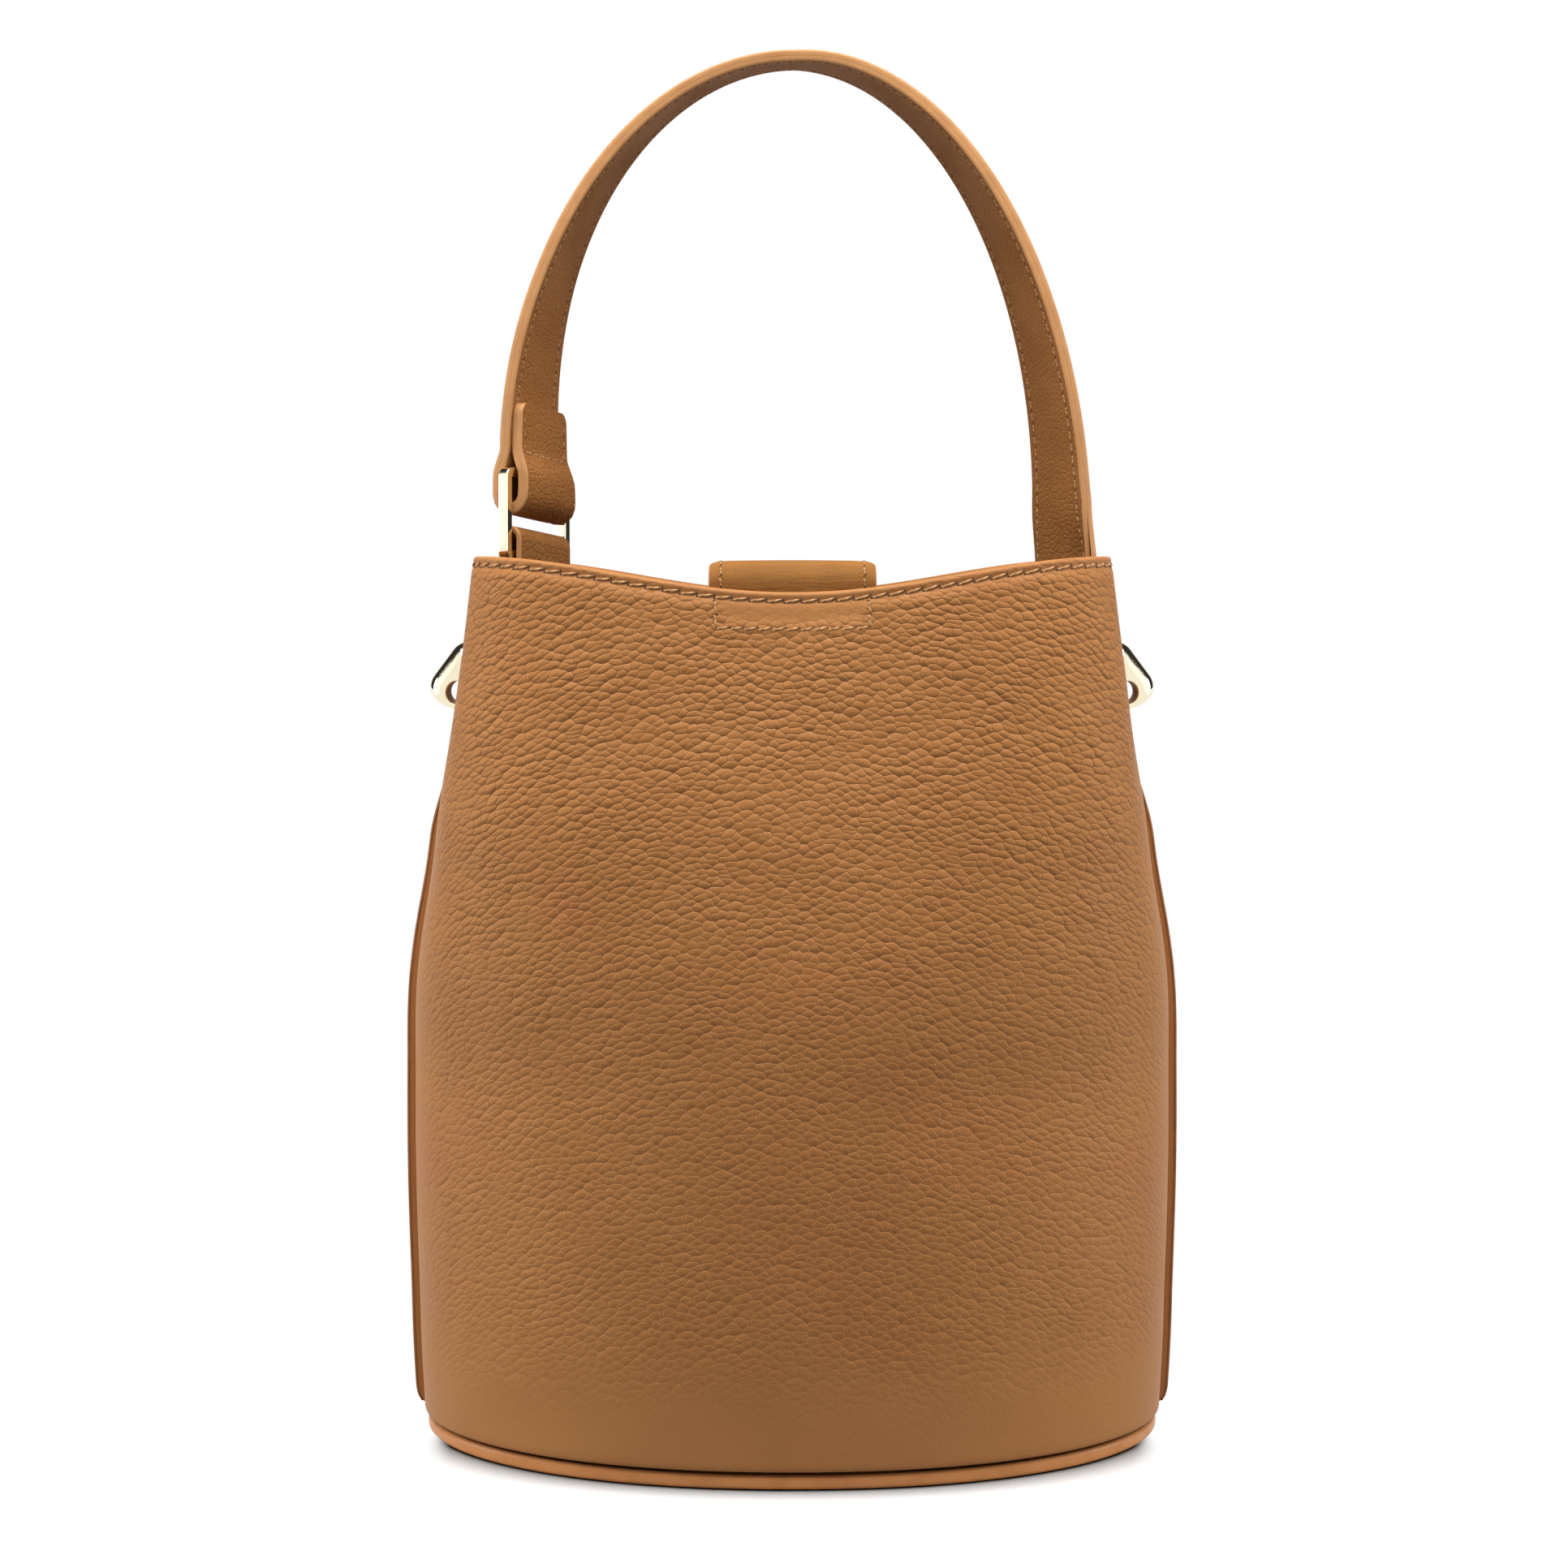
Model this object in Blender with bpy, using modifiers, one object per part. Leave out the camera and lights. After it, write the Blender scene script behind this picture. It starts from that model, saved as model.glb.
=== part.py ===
"""Bucket bag of pebbled leather with an oval base, a closure tab and a stiff top handle.

Metres, +Z up. The origin is the middle of the underside of the base. The back of the bag,
where the closure tab is sewn on, faces -Y, and +X is on the right when the back is seen.
"""

import math

import bmesh
import bpy
import numpy as np
from mathutils import Matrix, Vector

MM = 0.001

# Body: half lengths run along X and half depths along Y, from the foot of the wall to the mouth
BODY_HEIGHT = 225.0 * MM
FOOT_HALF_LENGTH = 95.6 * MM
HIP_HALF_LENGTH = 96.9 * MM
BELLY_HALF_LENGTH = 98.1 * MM
SHOULDER_HALF_LENGTH = 92.6 * MM
NECK_HALF_LENGTH = 86.8 * MM
MOUTH_HALF_LENGTH = 82.2 * MM
FOOT_HALF_DEPTH = 60.7 * MM
HIP_HALF_DEPTH = 61.0 * MM
BELLY_HALF_DEPTH = 59.8 * MM
SHOULDER_HALF_DEPTH = 55.5 * MM
NECK_HALF_DEPTH = 50.0 * MM
MOUTH_HALF_DEPTH = 46.0 * MM
FOOT_SQUARENESS = 2.1
MOUTH_SQUARENESS = 4.2
RIM_DIP = 9.0 * MM
PINCH_DEPTH = 13.0 * MM
PINCH_HALF_WIDTH = 26.0 * MM
PINCH_LENGTH = 62.5 * MM

# Layers of the wall and the base
GAP = 0.3 * MM
LAYER_GAP = 0.6 * MM
LEATHER = 1.4 * MM
FACING = 1.0 * MM
FACING_HEIGHT = 42.0 * MM
STIFFENER = 0.9 * MM
LINING = 0.6 * MM
FLANGE = 2.2 * MM
FLANGE_LIP = 0.25 * MM
FLANGE_TAPER = 20.0 * MM
FLANGE_ROUNDING = 5.0 * MM
BASE_THICKNESS = 4.0 * MM
BASE_INSET = 0.9 * MM
BOARD_THICKNESS = 2.0 * MM

# Handle
HANDLE_RISE = 127.6 * MM
HANDLE_SPRING = 29.5 * MM
HANDLE_PLANE = -14.0 * MM
HANDLE_TOP_CANT = math.radians(-5.0)
HANDLE_LEFT_EASE = 1.6
STRAP_WIDTH = 24.8 * MM
STRAP_PLY = 1.2 * MM
HANDLE_RIGHT_SPRING = 8.6 * MM
SWING_HEIGHT = 3.5 * MM
SWING_CLEARANCE = 10.0 * MM
ROOT_SEAT_GAP = 0.8 * MM
HANDLE_ROOT_DROP = 3.5 * MM
HANDLE_ROOT_LENGTH = 17.0 * MM

# Ring at the left end of the handle
RING_BAR = 2.6 * MM
RING_INNER_WIDTH = 26.0 * MM
RING_HEIGHT = 23.5 * MM
RING_BELOW_RIM = 1.0 * MM
RING_CORNER = 2.2 * MM
RING_EASE = 0.5 * MM
LOOP_PLAY = 1.0 * MM
LOOP_DROP = 13.0 * MM
FOLD_LENGTH = 28.5 * MM
TAB_PLY = 1.2 * MM
TAB_APEX = 6.5 * MM
TAB_WALL_GAP = 2.1 * MM
TAB_BEND_LENGTH = 9.5 * MM
TAB_ROOT_LENGTH = 12.0 * MM

# Closure tab
CLOSURE_WIDTH = 41.5 * MM
CLOSURE_TOP = 7.8 * MM
CLOSURE_ROOT_LENGTH = 14.0 * MM
CLOSURE_DROP = 62.0 * MM
CLOSURE_LIFT = 0.9 * MM
CLOSURE_END_RADIUS = 12.0 * MM

# Magnetic snap of the closure tab
SNAP_DROP = 46.0 * MM
SNAP_RADIUS = 9.0 * MM
SOCKET_HEIGHT = 2.6 * MM
SOCKET_RECESS = 1.9 * MM
STUD_FLANGE = 0.8 * MM
STUD_RADIUS = 3.4 * MM
SHANK_RADIUS = 1.5 * MM
SNAP_WASHER = 0.55 * MM
STUD_WASHER_RADIUS = 5.4 * MM

# Strap lugs at the side seams
LUG_DROP = 34.5 * MM
LUG_REACH = 14.6 * MM
LUG_LOW = 7.8 * MM
LUG_HIGH = 10.4 * MM
LUG_SLANT = 4.2 * MM
LUG_HALF_THICKNESS = 5.5 * MM
LUG_FACE_SCALE = 0.62
LUG_FOOT = 0.6 * MM
LUG_FOOT_RADIUS = 1.5 * MM
LUG_NOSE_RADIUS = 5.0 * MM
LUG_EYE_RADIUS = 3.0 * MM
LUG_EYE_REACH = 5.1 * MM
LUG_EYE_DROP = 3.0 * MM
LUG_BORE_DEPTH = 7.8 * MM
SCREW_RADIUS = 1.5 * MM
SCREW_HEAD_RADIUS = 3.5 * MM
SCREW_HEAD_HEIGHT = 1.8 * MM
SCREW_RISE = 5.0 * MM
LUG_WASHER_RADIUS = 4.5 * MM
LUG_WASHER_THICKNESS = 0.8 * MM

# Mesh steps
QUARTER_STEPS = 11
SEAM_CROWDING = 0.4
LAYER_ROW_GAP = 3.0 * MM
ARC_STEPS = 4
ARCH_STEPS = 28
ROUND_STEPS = 18

# Worked out from the sizes above
WALL_FOOT = BASE_THICKNESS + GAP
RIM_MIDDLE = BODY_HEIGHT - RIM_DIP
STRAP_THICKNESS = 2 * STRAP_PLY + GAP
FACING_OUTSIDE = LEATHER + LAYER_GAP
FACING_INSIDE = FACING_OUTSIDE + FACING
STIFFENER_OUTSIDE = LEATHER + LAYER_GAP
LINING_OUTSIDE = STIFFENER_OUTSIDE + STIFFENER + LAYER_GAP
FACING_FOOT = BODY_HEIGHT - FACING_HEIGHT
BOARD_TOP = WALL_FOOT + BOARD_THICKNESS
STATIONS = np.append(WALL_FOOT, np.array([0.14, 0.42, 0.66, 0.835, 1.0]) * BODY_HEIGHT)
HALF_LENGTHS = np.array(
    [
        FOOT_HALF_LENGTH,
        HIP_HALF_LENGTH,
        BELLY_HALF_LENGTH,
        SHOULDER_HALF_LENGTH,
        NECK_HALF_LENGTH,
        MOUTH_HALF_LENGTH,
    ]
)
HALF_DEPTHS = np.array(
    [
        FOOT_HALF_DEPTH,
        HIP_HALF_DEPTH,
        BELLY_HALF_DEPTH,
        SHOULDER_HALF_DEPTH,
        NECK_HALF_DEPTH,
        MOUTH_HALF_DEPTH,
    ]
)

for old in list(bpy.data.objects):
    bpy.data.objects.remove(old, do_unlink=True)

bag = bpy.data.collections.new("bucket_bag")
cutters = bpy.data.collections.new("cutters")
bpy.context.scene.collection.children.link(bag)
bpy.context.scene.collection.children.link(cutters)


def new_material(name, colour, roughness, metallic=0.0):
    material = bpy.data.materials.new(name)
    material.use_nodes = True
    shader = material.node_tree.nodes["Principled BSDF"]
    shader.inputs["Base Color"].default_value = (*colour, 1.0)
    shader.inputs["Roughness"].default_value = roughness
    shader.inputs["Metallic"].default_value = metallic
    return material


TAN_LEATHER = (0.33, 0.14, 0.05)
PALE_GOLD = (0.85, 0.74, 0.50)
SUEDE = (0.42, 0.28, 0.17)
BOARD = (0.30, 0.25, 0.20)
MAGNET = (0.10, 0.10, 0.11)


def dressed(name, mesh, colour, roughness=0.5, metallic=0.0):
    """A new object of the bag with a material of its own."""
    part = bpy.data.objects.new(name, mesh)
    part.data.materials.append(new_material(name, colour, roughness, metallic))
    bag.objects.link(part)
    return part


def cut(part, cutter):
    """Take the cutter out of the part."""
    modifier = part.modifiers.new("cut", "BOOLEAN")
    modifier.operation = "DIFFERENCE"
    modifier.solver = "EXACT"
    modifier.object = cutter


def round_cutter(name, frame, radius, low, high):
    """A round cutter along the Z axis of the frame, from low to high."""
    mesh = bpy.data.meshes.new(name)
    body = bmesh.new()
    middle = Matrix.Translation((0.0, 0.0, (low + high) / 2))
    bmesh.ops.create_cone(
        body,
        cap_ends=True,
        segments=ROUND_STEPS,
        radius1=radius,
        radius2=radius,
        depth=high - low,
        matrix=middle,
    )
    body.to_mesh(mesh)
    body.free()
    cutter = bpy.data.objects.new(name, mesh)
    cutter.matrix_world = frame
    cutter.hide_render = True
    cutter.display_type = "WIRE"
    cutters.objects.link(cutter)
    return cutter


def smooth_step(share):
    share = min(max(share, 0.0), 1.0)
    return share * share * (3 - 2 * share)


def frame_at(origin, along):
    """A frame at the origin whose Z axis runs along the direction, with its Y axis in the YZ plane or upright."""
    along = Vector(along).normalized()
    across = Vector((1.0, 0.0, 0.0))
    if abs(along.x) > 0.5:
        across = Vector((0.0, 1.0, 0.0))
    upright = along.cross(across).normalized()
    across = upright.cross(along)
    turn = Matrix((across, upright, along)).transposed().to_4x4()
    return Matrix.Translation(origin) @ turn


def rounded_path(corners, radii):
    """The 2D path through the corners, each inner corner rounded to its radius."""
    points = [Vector(corners[0])]
    for before, corner, after, radius in zip(corners, corners[1:], corners[2:], radii):
        corner = Vector(corner)
        back = (Vector(before) - corner).normalized()
        ahead = (Vector(after) - corner).normalized()
        half = math.acos(max(-1.0, min(1.0, back.dot(ahead)))) / 2
        reach = radius / math.tan(half)
        centre = corner + (back + ahead).normalized() * (radius / math.sin(half))
        start = corner + back * reach - centre
        end = corner + ahead * reach - centre
        sweep = math.atan2(start.x * end.y - start.y * end.x, start.dot(end))
        for step in range(ARC_STEPS + 1):
            turn = Matrix.Rotation(sweep * step / ARC_STEPS, 2)
            points.append(centre + turn @ start)
    points.append(Vector(corners[-1]))
    return points


def rounded_loop(corners, radii):
    """The closed 2D outline of the corners, each rounded to its radius."""
    last = (Vector(corners[-1]) + Vector(corners[0])) / 2
    return rounded_path([last, *corners, last], radii)[1:-1]


def loft(name, rings, colour, closed=False, **finish):
    """A solid skinned over rings of equally many points, capped at the ends unless it closes on itself."""
    body = bmesh.new()
    rows = [[body.verts.new(point) for point in ring] for ring in rings]
    if closed:
        rows.append(rows[0])
    else:
        body.faces.new(rows[0])
        body.faces.new(rows[-1])
    for low, high in zip(rows, rows[1:]):
        for index in range(len(low)):
            body.faces.new((low[index - 1], low[index], high[index], high[index - 1]))
    bmesh.ops.recalc_face_normals(body, faces=body.faces)
    mesh = bpy.data.meshes.new(name)
    body.to_mesh(mesh)
    body.free()
    mesh.shade_smooth()
    mesh.set_sharp_from_angle(angle=math.radians(40))
    return dressed(name, mesh, colour, **finish)


def shell(name, rows, thickness, colour, closed=False, **finish):
    """A wall grown inwards from a grid of points whose rows go up and whose columns run counter-clockwise."""
    body = bmesh.new()
    grid = [[body.verts.new(point) for point in row] for row in rows]
    if closed:
        grid = [[*row, row[0]] for row in grid]
    for low, high in zip(grid, grid[1:]):
        for column in range(len(low) - 1):
            body.faces.new((low[column], low[column + 1], high[column + 1], high[column]))
    mesh = bpy.data.meshes.new(name)
    body.to_mesh(mesh)
    body.free()
    mesh.shade_smooth()
    part = dressed(name, mesh, colour, **finish)
    solidify = part.modifiers.new("thickness", "SOLIDIFY")
    solidify.thickness = thickness
    solidify.offset = -1.0
    solidify.use_even_offset = True
    solidify.use_quality_normals = True
    return part


def turned(name, frame, profile, colour, ring=False, **finish):
    """A turned piece: the profile's points are (radius, height) from the frame's origin along its Z axis."""
    body = bmesh.new()
    chain = [body.verts.new((radius, 0.0, height)) for radius, height in profile]
    for start, end in zip(chain, chain[1:]):
        body.edges.new((start, end))
    if ring:
        body.edges.new((chain[-1], chain[0]))
    mesh = bpy.data.meshes.new(name)
    body.to_mesh(mesh)
    body.free()
    part = dressed(name, mesh, colour, **finish)
    screw = part.modifiers.new("turn", "SCREW")
    screw.steps = ROUND_STEPS
    screw.render_steps = ROUND_STEPS
    screw.use_merge_vertices = True
    screw.merge_threshold = 0.00001
    part.matrix_world = frame
    return part


# The body's horizontal section: a quarter from the right seam to the middle of the front


def at_station(height, values):
    """The smooth curve through the values at the stations, level where the values turn back."""
    rises = np.diff(values) / np.diff(STATIONS)
    products = np.maximum(rises[:-1] * rises[1:], 0.0)
    slopes = np.concatenate([rises[:1], 2 * products / (rises[:-1] + rises[1:]), rises[-1:]])
    index = int(np.clip(np.searchsorted(STATIONS, height) - 1, 0, len(STATIONS) - 2))
    span = STATIONS[index + 1] - STATIONS[index]
    share = (height - STATIONS[index]) / span
    rest = 1 - share
    start = values[index] + share * slopes[index] * span
    end = values[index + 1] - rest * slopes[index + 1] * span
    ease = share * share * (3 - 2 * share)
    return start * (1 - ease) + end * ease


def pinch_at(height):
    return PINCH_DEPTH * smooth_step((height - BODY_HEIGHT + PINCH_LENGTH) / PINCH_LENGTH)


def quarter(height, inset):
    """Closely spaced points of the quarter section, moved inwards by the inset."""
    length = at_station(height, HALF_LENGTHS)
    depth = at_station(height, HALF_DEPTHS)
    ease = smooth_step((height / BODY_HEIGHT - 0.4) / 0.6)
    power = FOOT_SQUARENESS + (MOUTH_SQUARENESS - FOOT_SQUARENESS) * ease
    side_y = np.linspace(0.0, 0.8 * depth, 120)
    side_x = length * (1 - (side_y / depth) ** power) ** (1 / power)
    pinch = np.cos(np.pi / 2 * np.minimum(side_y / PINCH_HALF_WIDTH, 1.0)) ** 2
    side_x = side_x - pinch_at(height) * pinch
    front_x = np.linspace(side_x[-1], 0.0, 160)[1:]
    front_y = depth * (1 - (front_x / length) ** power) ** (1 / power)
    points = np.column_stack([np.append(side_x, front_x), np.append(side_y, front_y)])
    return points - inset * outward_along(points)


def outward_along(points):
    """The outward directions along the points of a quarter section."""
    along = np.gradient(points, axis=0)
    along /= np.linalg.norm(along, axis=1)[:, None]
    return np.column_stack([along[:, 1], -along[:, 0]])


def spaced_quarter(height, inset, start_y=0.0):
    """The quarter section from start_y, its points closest near the seam and in step for every inset."""
    outside = quarter(height, 0.0)
    inside = outside - inset * outward_along(outside)
    lengths = np.append(0.0, np.cumsum(np.linalg.norm(np.diff(outside, axis=0), axis=1)))
    start = np.interp(start_y, inside[:115, 1], lengths[:115])
    shares = np.linspace(0.0, 1.0, QUARTER_STEPS + 1)
    wanted = start + (lengths[-1] - start) * shares * (SEAM_CROWDING + (1 - SEAM_CROWDING) * shares)
    return np.column_stack([np.interp(wanted, lengths, inside[:, axis]) for axis in (0, 1)])


def seat_x(y, height, inset):
    """The half length of the section where it crosses y, near a side seam."""
    points = quarter(height, inset)[:115]
    return float(np.interp(y, points[:, 1], points[:, 0]))


def seat_y(height, inset):
    """The half depth of the section in the middle of the front or back."""
    return float(quarter(height, inset)[-1, 1])


def rim_height(x):
    """The dipping rim of the mouth."""
    share = min(abs(x) / MOUTH_HALF_LENGTH, 1.0)
    return BODY_HEIGHT - RIM_DIP * (1 + math.cos(math.pi * share)) / 2


def half_outline(quarter_points):
    """The quarter and its mirror image: the right seam round the front to the left seam."""
    mirrored = [(-x, y) for x, y in quarter_points[-2::-1]]
    return [(x, y) for x, y in quarter_points] + mirrored


def wall_level(x, share):
    """The height at this share of the wall, from its foot to the rim above x."""
    return WALL_FOOT + share * (rim_height(x) - WALL_FOOT)


# Panels of the wall


def flange_at(height):
    """How far the seam flange stands out: rounded off above the base and tapered out below the pinch."""
    low = math.sqrt(max(0.0, 1 - max(0.0, 1 - (height - WALL_FOOT) / FLANGE_ROUNDING) ** 2))
    high = 1 - smooth_step((height - BODY_HEIGHT + PINCH_LENGTH + FLANGE_TAPER / 2) / FLANGE_TAPER)
    return FLANGE_LIP + (FLANGE - FLANGE_LIP) * low * high


def panel_rows(shares):
    """Rows of the front panel's outer surface, with the flange's two points at each side seam."""
    seam = LEATHER + GAP / 2
    top_points = half_outline(spaced_quarter(BODY_HEIGHT, 0.0, seam))
    rows = []
    for share in shares:
        row = []
        for column, (top_x, _) in enumerate(top_points):
            height = wall_level(top_x, share)
            x, y = half_outline(spaced_quarter(height, 0.0, seam))[column]
            row.append(Vector((x, y, height)))
        reach = Vector((flange_at(row[0].z), 0.0, 0.0))
        rows.append([row[0] + reach, *row, row[-1] - reach])
    return rows


def turned_about(rows):
    """The rows turned half a turn about Z, from the front to the back."""
    return [[Vector((-x, -y, z)) for x, y, z in row] for row in rows]


pinch_share = 1 - 1.15 * PINCH_LENGTH / BODY_HEIGHT
WALL_SHARES = [0.0, 0.01, 0.025, 0.045]
WALL_SHARES += [*np.linspace(0.1, pinch_share, 5), *np.linspace(pinch_share, 1.0, 8)[1:]]
wall_rows = panel_rows(WALL_SHARES)
front_panel = shell("front_panel", wall_rows, LEATHER, TAN_LEATHER)
back_panel = shell("back_panel", turned_about(wall_rows), LEATHER, TAN_LEATHER)


def layer_rows(inset, foot, top, start_y):
    """Rows of the front half of an inner layer, in step with the panel's rows, from the foot to the top or the rim."""
    top_points = half_outline(spaced_quarter(BODY_HEIGHT, inset, start_y))
    least = LAYER_ROW_GAP
    between = []
    for share in WALL_SHARES[3:-1]:
        lowest = wall_level(0.0, share)
        highest = wall_level(MOUTH_HALF_LENGTH, share)
        if lowest > foot + least and (top is None or highest < top - least):
            between.append(share)
    rows = []
    for share in [None, *between, 1.0]:
        row = []
        for column, (top_x, _) in enumerate(top_points):
            height = wall_level(top_x, 1.0 if share is None else share)
            if share is None:
                height = foot
            elif share == 1.0 and top:
                height = top
            x, y = half_outline(spaced_quarter(height, inset, start_y))[column]
            row.append(Vector((x, y, height)))
        rows.append(row)
    return rows


def whole_ring(rows):
    """The front half joined to the back half, counter-clockwise."""
    return [front[:-1] + back[:-1] for front, back in zip(rows, turned_about(rows))]


facing_rows = whole_ring(layer_rows(FACING_OUTSIDE, FACING_FOOT, None, 0.0))
mouth_facing = shell("mouth_facing", facing_rows, FACING, TAN_LEATHER, closed=True)

inner_top = FACING_FOOT - GAP
stiffener_rows = layer_rows(STIFFENER_OUTSIDE, BOARD_TOP + GAP, inner_top, GAP / 2)
front_stiffener = shell("front_stiffener", stiffener_rows, STIFFENER, BOARD, roughness=0.9)
back_stiffener = shell("back_stiffener", turned_about(stiffener_rows), STIFFENER, BOARD, roughness=0.9)

lining_rows = whole_ring(layer_rows(LINING_OUTSIDE, BOARD_TOP + GAP, inner_top, 0.0))
lining_wall = shell("lining_wall", lining_rows, LINING, SUEDE, closed=True, roughness=0.9)

# Base


def oval_plate(name, inset, low, thickness, colour, **finish):
    """A plate with the outline of the wall's foot, moved inwards by the inset."""
    half = half_outline(spaced_quarter(WALL_FOOT, inset))
    outline = half[:-1] + [(-x, -y) for x, y in half[:-1]]
    rings = [[Vector((x, y, height)) for x, y in outline] for height in (low, low + thickness)]
    return loft(name, rings, colour, **finish)


oval_plate("base_panel", BASE_INSET, 0.0, BASE_THICKNESS, TAN_LEATHER)
oval_plate("base_board", LEATHER + GAP, WALL_FOOT, BOARD_THICKNESS, BOARD, roughness=0.9)
floor_inset = LINING_OUTSIDE + LINING + GAP
oval_plate("lining_floor", floor_inset, BOARD_TOP + GAP, LINING, SUEDE, roughness=0.9)

# Straps: a path of frames, each a middle, the direction of travel and the direction across


def strap_frames(points, across):
    """Frames along the points, the across direction squared to the direction of travel."""
    frames = []
    for index, point in enumerate(points):
        before = points[max(index - 1, 0)]
        after = points[min(index + 1, len(points) - 1)]
        travel = (after - before).normalized()
        side = across[index] - travel * across[index].dot(travel)
        frames.append((point, travel, side.normalized()))
    return frames


def strap(name, frames, half_widths, offset, thickness, colour=TAN_LEATHER):
    """A flat strap along the frames, its middle offset to the outer side."""
    rings = []
    for (middle, travel, side), half_width in zip(frames, half_widths):
        outward = travel.cross(side)
        low = middle + outward * (offset - thickness / 2)
        high = middle + outward * (offset + thickness / 2)
        edge = side * half_width
        rings.append([low - edge, low, low + edge, high + edge, high, high - edge])
    return loft(name, rings, colour)


# Where the handle meets the inside of the mouth: the chord of the pinched wall
root_reach = 0.45 * STRAP_WIDTH
near_y = HANDLE_PLANE - root_reach
far_y = HANDLE_PLANE + root_reach
near_x = seat_x(-near_y, BODY_HEIGHT, FACING_INSIDE)
far_x = seat_x(-far_y, BODY_HEIGHT, FACING_INSIDE)
leg_turn = math.atan2(near_x - far_x, far_y - near_y)
seat_middle = (near_x + far_x) / 2
right_x = seat_middle - (STRAP_THICKNESS / 2 + 4 * GAP) / math.cos(leg_turn)
tab_radius = RING_BAR / 2 + LOOP_PLAY - GAP + TAB_PLY / 2
ring_x = seat_middle - (tab_radius + TAB_PLY / 2 + TAB_WALL_GAP) / math.cos(leg_turn)
ring_middle = Vector((-ring_x, HANDLE_PLANE, 0.0))
ring_across = Vector((math.sin(leg_turn), math.cos(leg_turn), 0.0))
ring_inward = Vector((math.cos(leg_turn), -math.sin(leg_turn), 0.0))
ring_foot = BODY_HEIGHT - RING_BELOW_RIM
ring_top = ring_foot + RING_HEIGHT
swing_axis = BODY_HEIGHT + SWING_HEIGHT
spring_line = BODY_HEIGHT + HANDLE_SPRING


def beside_ring(path):
    """Points of a path given as (inwards, up) in the upright plane through the ring's middle."""
    return [ring_middle + ring_inward * inwards + Vector((0.0, 0.0, up)) for inwards, up in path]


def fold_path():
    """The turned-up end of the handle: down the inner side, round the ring's top bar and up the outer side."""
    pair = (STRAP_THICKNESS + 3 * GAP) / 2
    bulge = RING_BAR / 2 + LOOP_PLAY + STRAP_THICKNESS / 2
    low = ring_top - LOOP_DROP + STRAP_THICKNESS / 2
    shoulder = ring_top + LOOP_PLAY
    stitched = (shoulder + spring_line) / 2 + LOOP_PLAY
    end = ring_top - LOOP_DROP + FOLD_LENGTH
    inner = [(pair, end), (pair, stitched), (bulge, shoulder), (bulge, low)]
    outer = [(-inwards, up) for inwards, up in reversed(inner)]
    outer[-1] = (-pair, spring_line)
    bend = 2 * RING_BAR
    return rounded_path(inner + outer, [bend, bend, bulge * 0.999, bulge * 0.999, bend, bend])


def handle_frames():
    """The handle from its turned-up end through the ring and over the arch to the right leg."""
    fold = beside_ring(fold_path())
    left = fold[-1]
    right_foot = Vector((right_x, HANDLE_PLANE, swing_axis + SWING_CLEARANCE))
    top = BODY_HEIGHT + HANDLE_RISE
    middle_x = (left.x + right_x) / 2
    points = list(fold)
    across = [ring_across] * len(fold)
    for step in range(1, ARCH_STEPS + 1):
        angle = math.pi * step / ARCH_STEPS
        on_left = angle < math.pi / 2
        reach = middle_x - left.x if on_left else right_x - middle_x
        spring = spring_line if on_left else BODY_HEIGHT + HANDLE_RIGHT_SPRING
        above = (top - spring) * math.sin(angle)
        here = Vector((middle_x - reach * math.cos(angle), left.y, spring + above))
        here.y += (right_foot.y - left.y) * step / ARCH_STEPS
        if not on_left and here.z < right_foot.z + STRAP_THICKNESS:
            break
        share = abs(2 * step / ARCH_STEPS - 1) ** (HANDLE_LEFT_EASE if on_left else 1.0)
        turn = HANDLE_TOP_CANT + (leg_turn - HANDLE_TOP_CANT) * share
        outward = Vector((here.x - middle_x, 0.0, above * (reach / (top - spring)) ** 2)).normalized()
        points.append(here)
        across.append(Vector((0.0, math.cos(turn), 0.0)) - outward * math.sin(turn))
    points.append(right_foot)
    across.append(Vector((-math.sin(leg_turn), math.cos(leg_turn), 0.0)))
    return strap_frames(points, across)


def build_handle():
    frames = handle_frames()
    widths = [STRAP_WIDTH / 2] * len(frames)
    offset = (STRAP_PLY + GAP) / 2
    strap("handle_strap", frames, widths, offset, STRAP_PLY)
    strap("handle_lining", frames, widths, -offset, STRAP_PLY)
    return frames


def build_ring():
    """The rectangular ring: a square bar with eased edges round a rounded rectangle."""
    half_width = (RING_INNER_WIDTH + RING_BAR) / 2
    low = ring_foot + RING_BAR / 2
    high = ring_top - RING_BAR / 2
    corners = [(-half_width, low), (half_width, low), (half_width, high), (-half_width, high)]
    path = rounded_loop([Vector(corner) for corner in corners], [RING_CORNER] * 4)
    bar = RING_BAR / 2
    ease = RING_EASE
    section = [(bar, bar - ease), (bar - ease, bar), (ease - bar, bar), (-bar, bar - ease)]
    section += [(-x, -y) for x, y in section]
    rings = []
    for index, point in enumerate(path):
        travel = path[(index + 1) % len(path)] - path[index - 1]
        travel.normalize()
        outward = ring_across * travel.y - Vector((0.0, 0.0, travel.x))
        middle = ring_middle + ring_across * point.x + Vector((0.0, 0.0, point.y))
        rings.append([middle + outward * x + ring_inward * y for x, y in section])
    loft("handle_ring", rings, PALE_GOLD, closed=True, roughness=0.2, metallic=1.0)


tab_foot = ring_foot - 2 * GAP - GAP / 2


def build_ring_tab():
    """The leather tab over the ring's bottom bar."""
    top = BODY_HEIGHT + TAB_APEX - TAB_PLY / 2
    corners = [(tab_radius, tab_foot), (tab_radius, top), (-tab_radius, top), (-tab_radius, tab_foot)]
    path = rounded_path(corners, [tab_radius * 0.999] * 2)
    frames = strap_frames(beside_ring(path), [ring_across] * len(path))
    strap("ring_tab", frames, [STRAP_WIDTH / 2] * len(frames), 0.0, TAB_PLY)


ROOT_STEPS = 6


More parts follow.
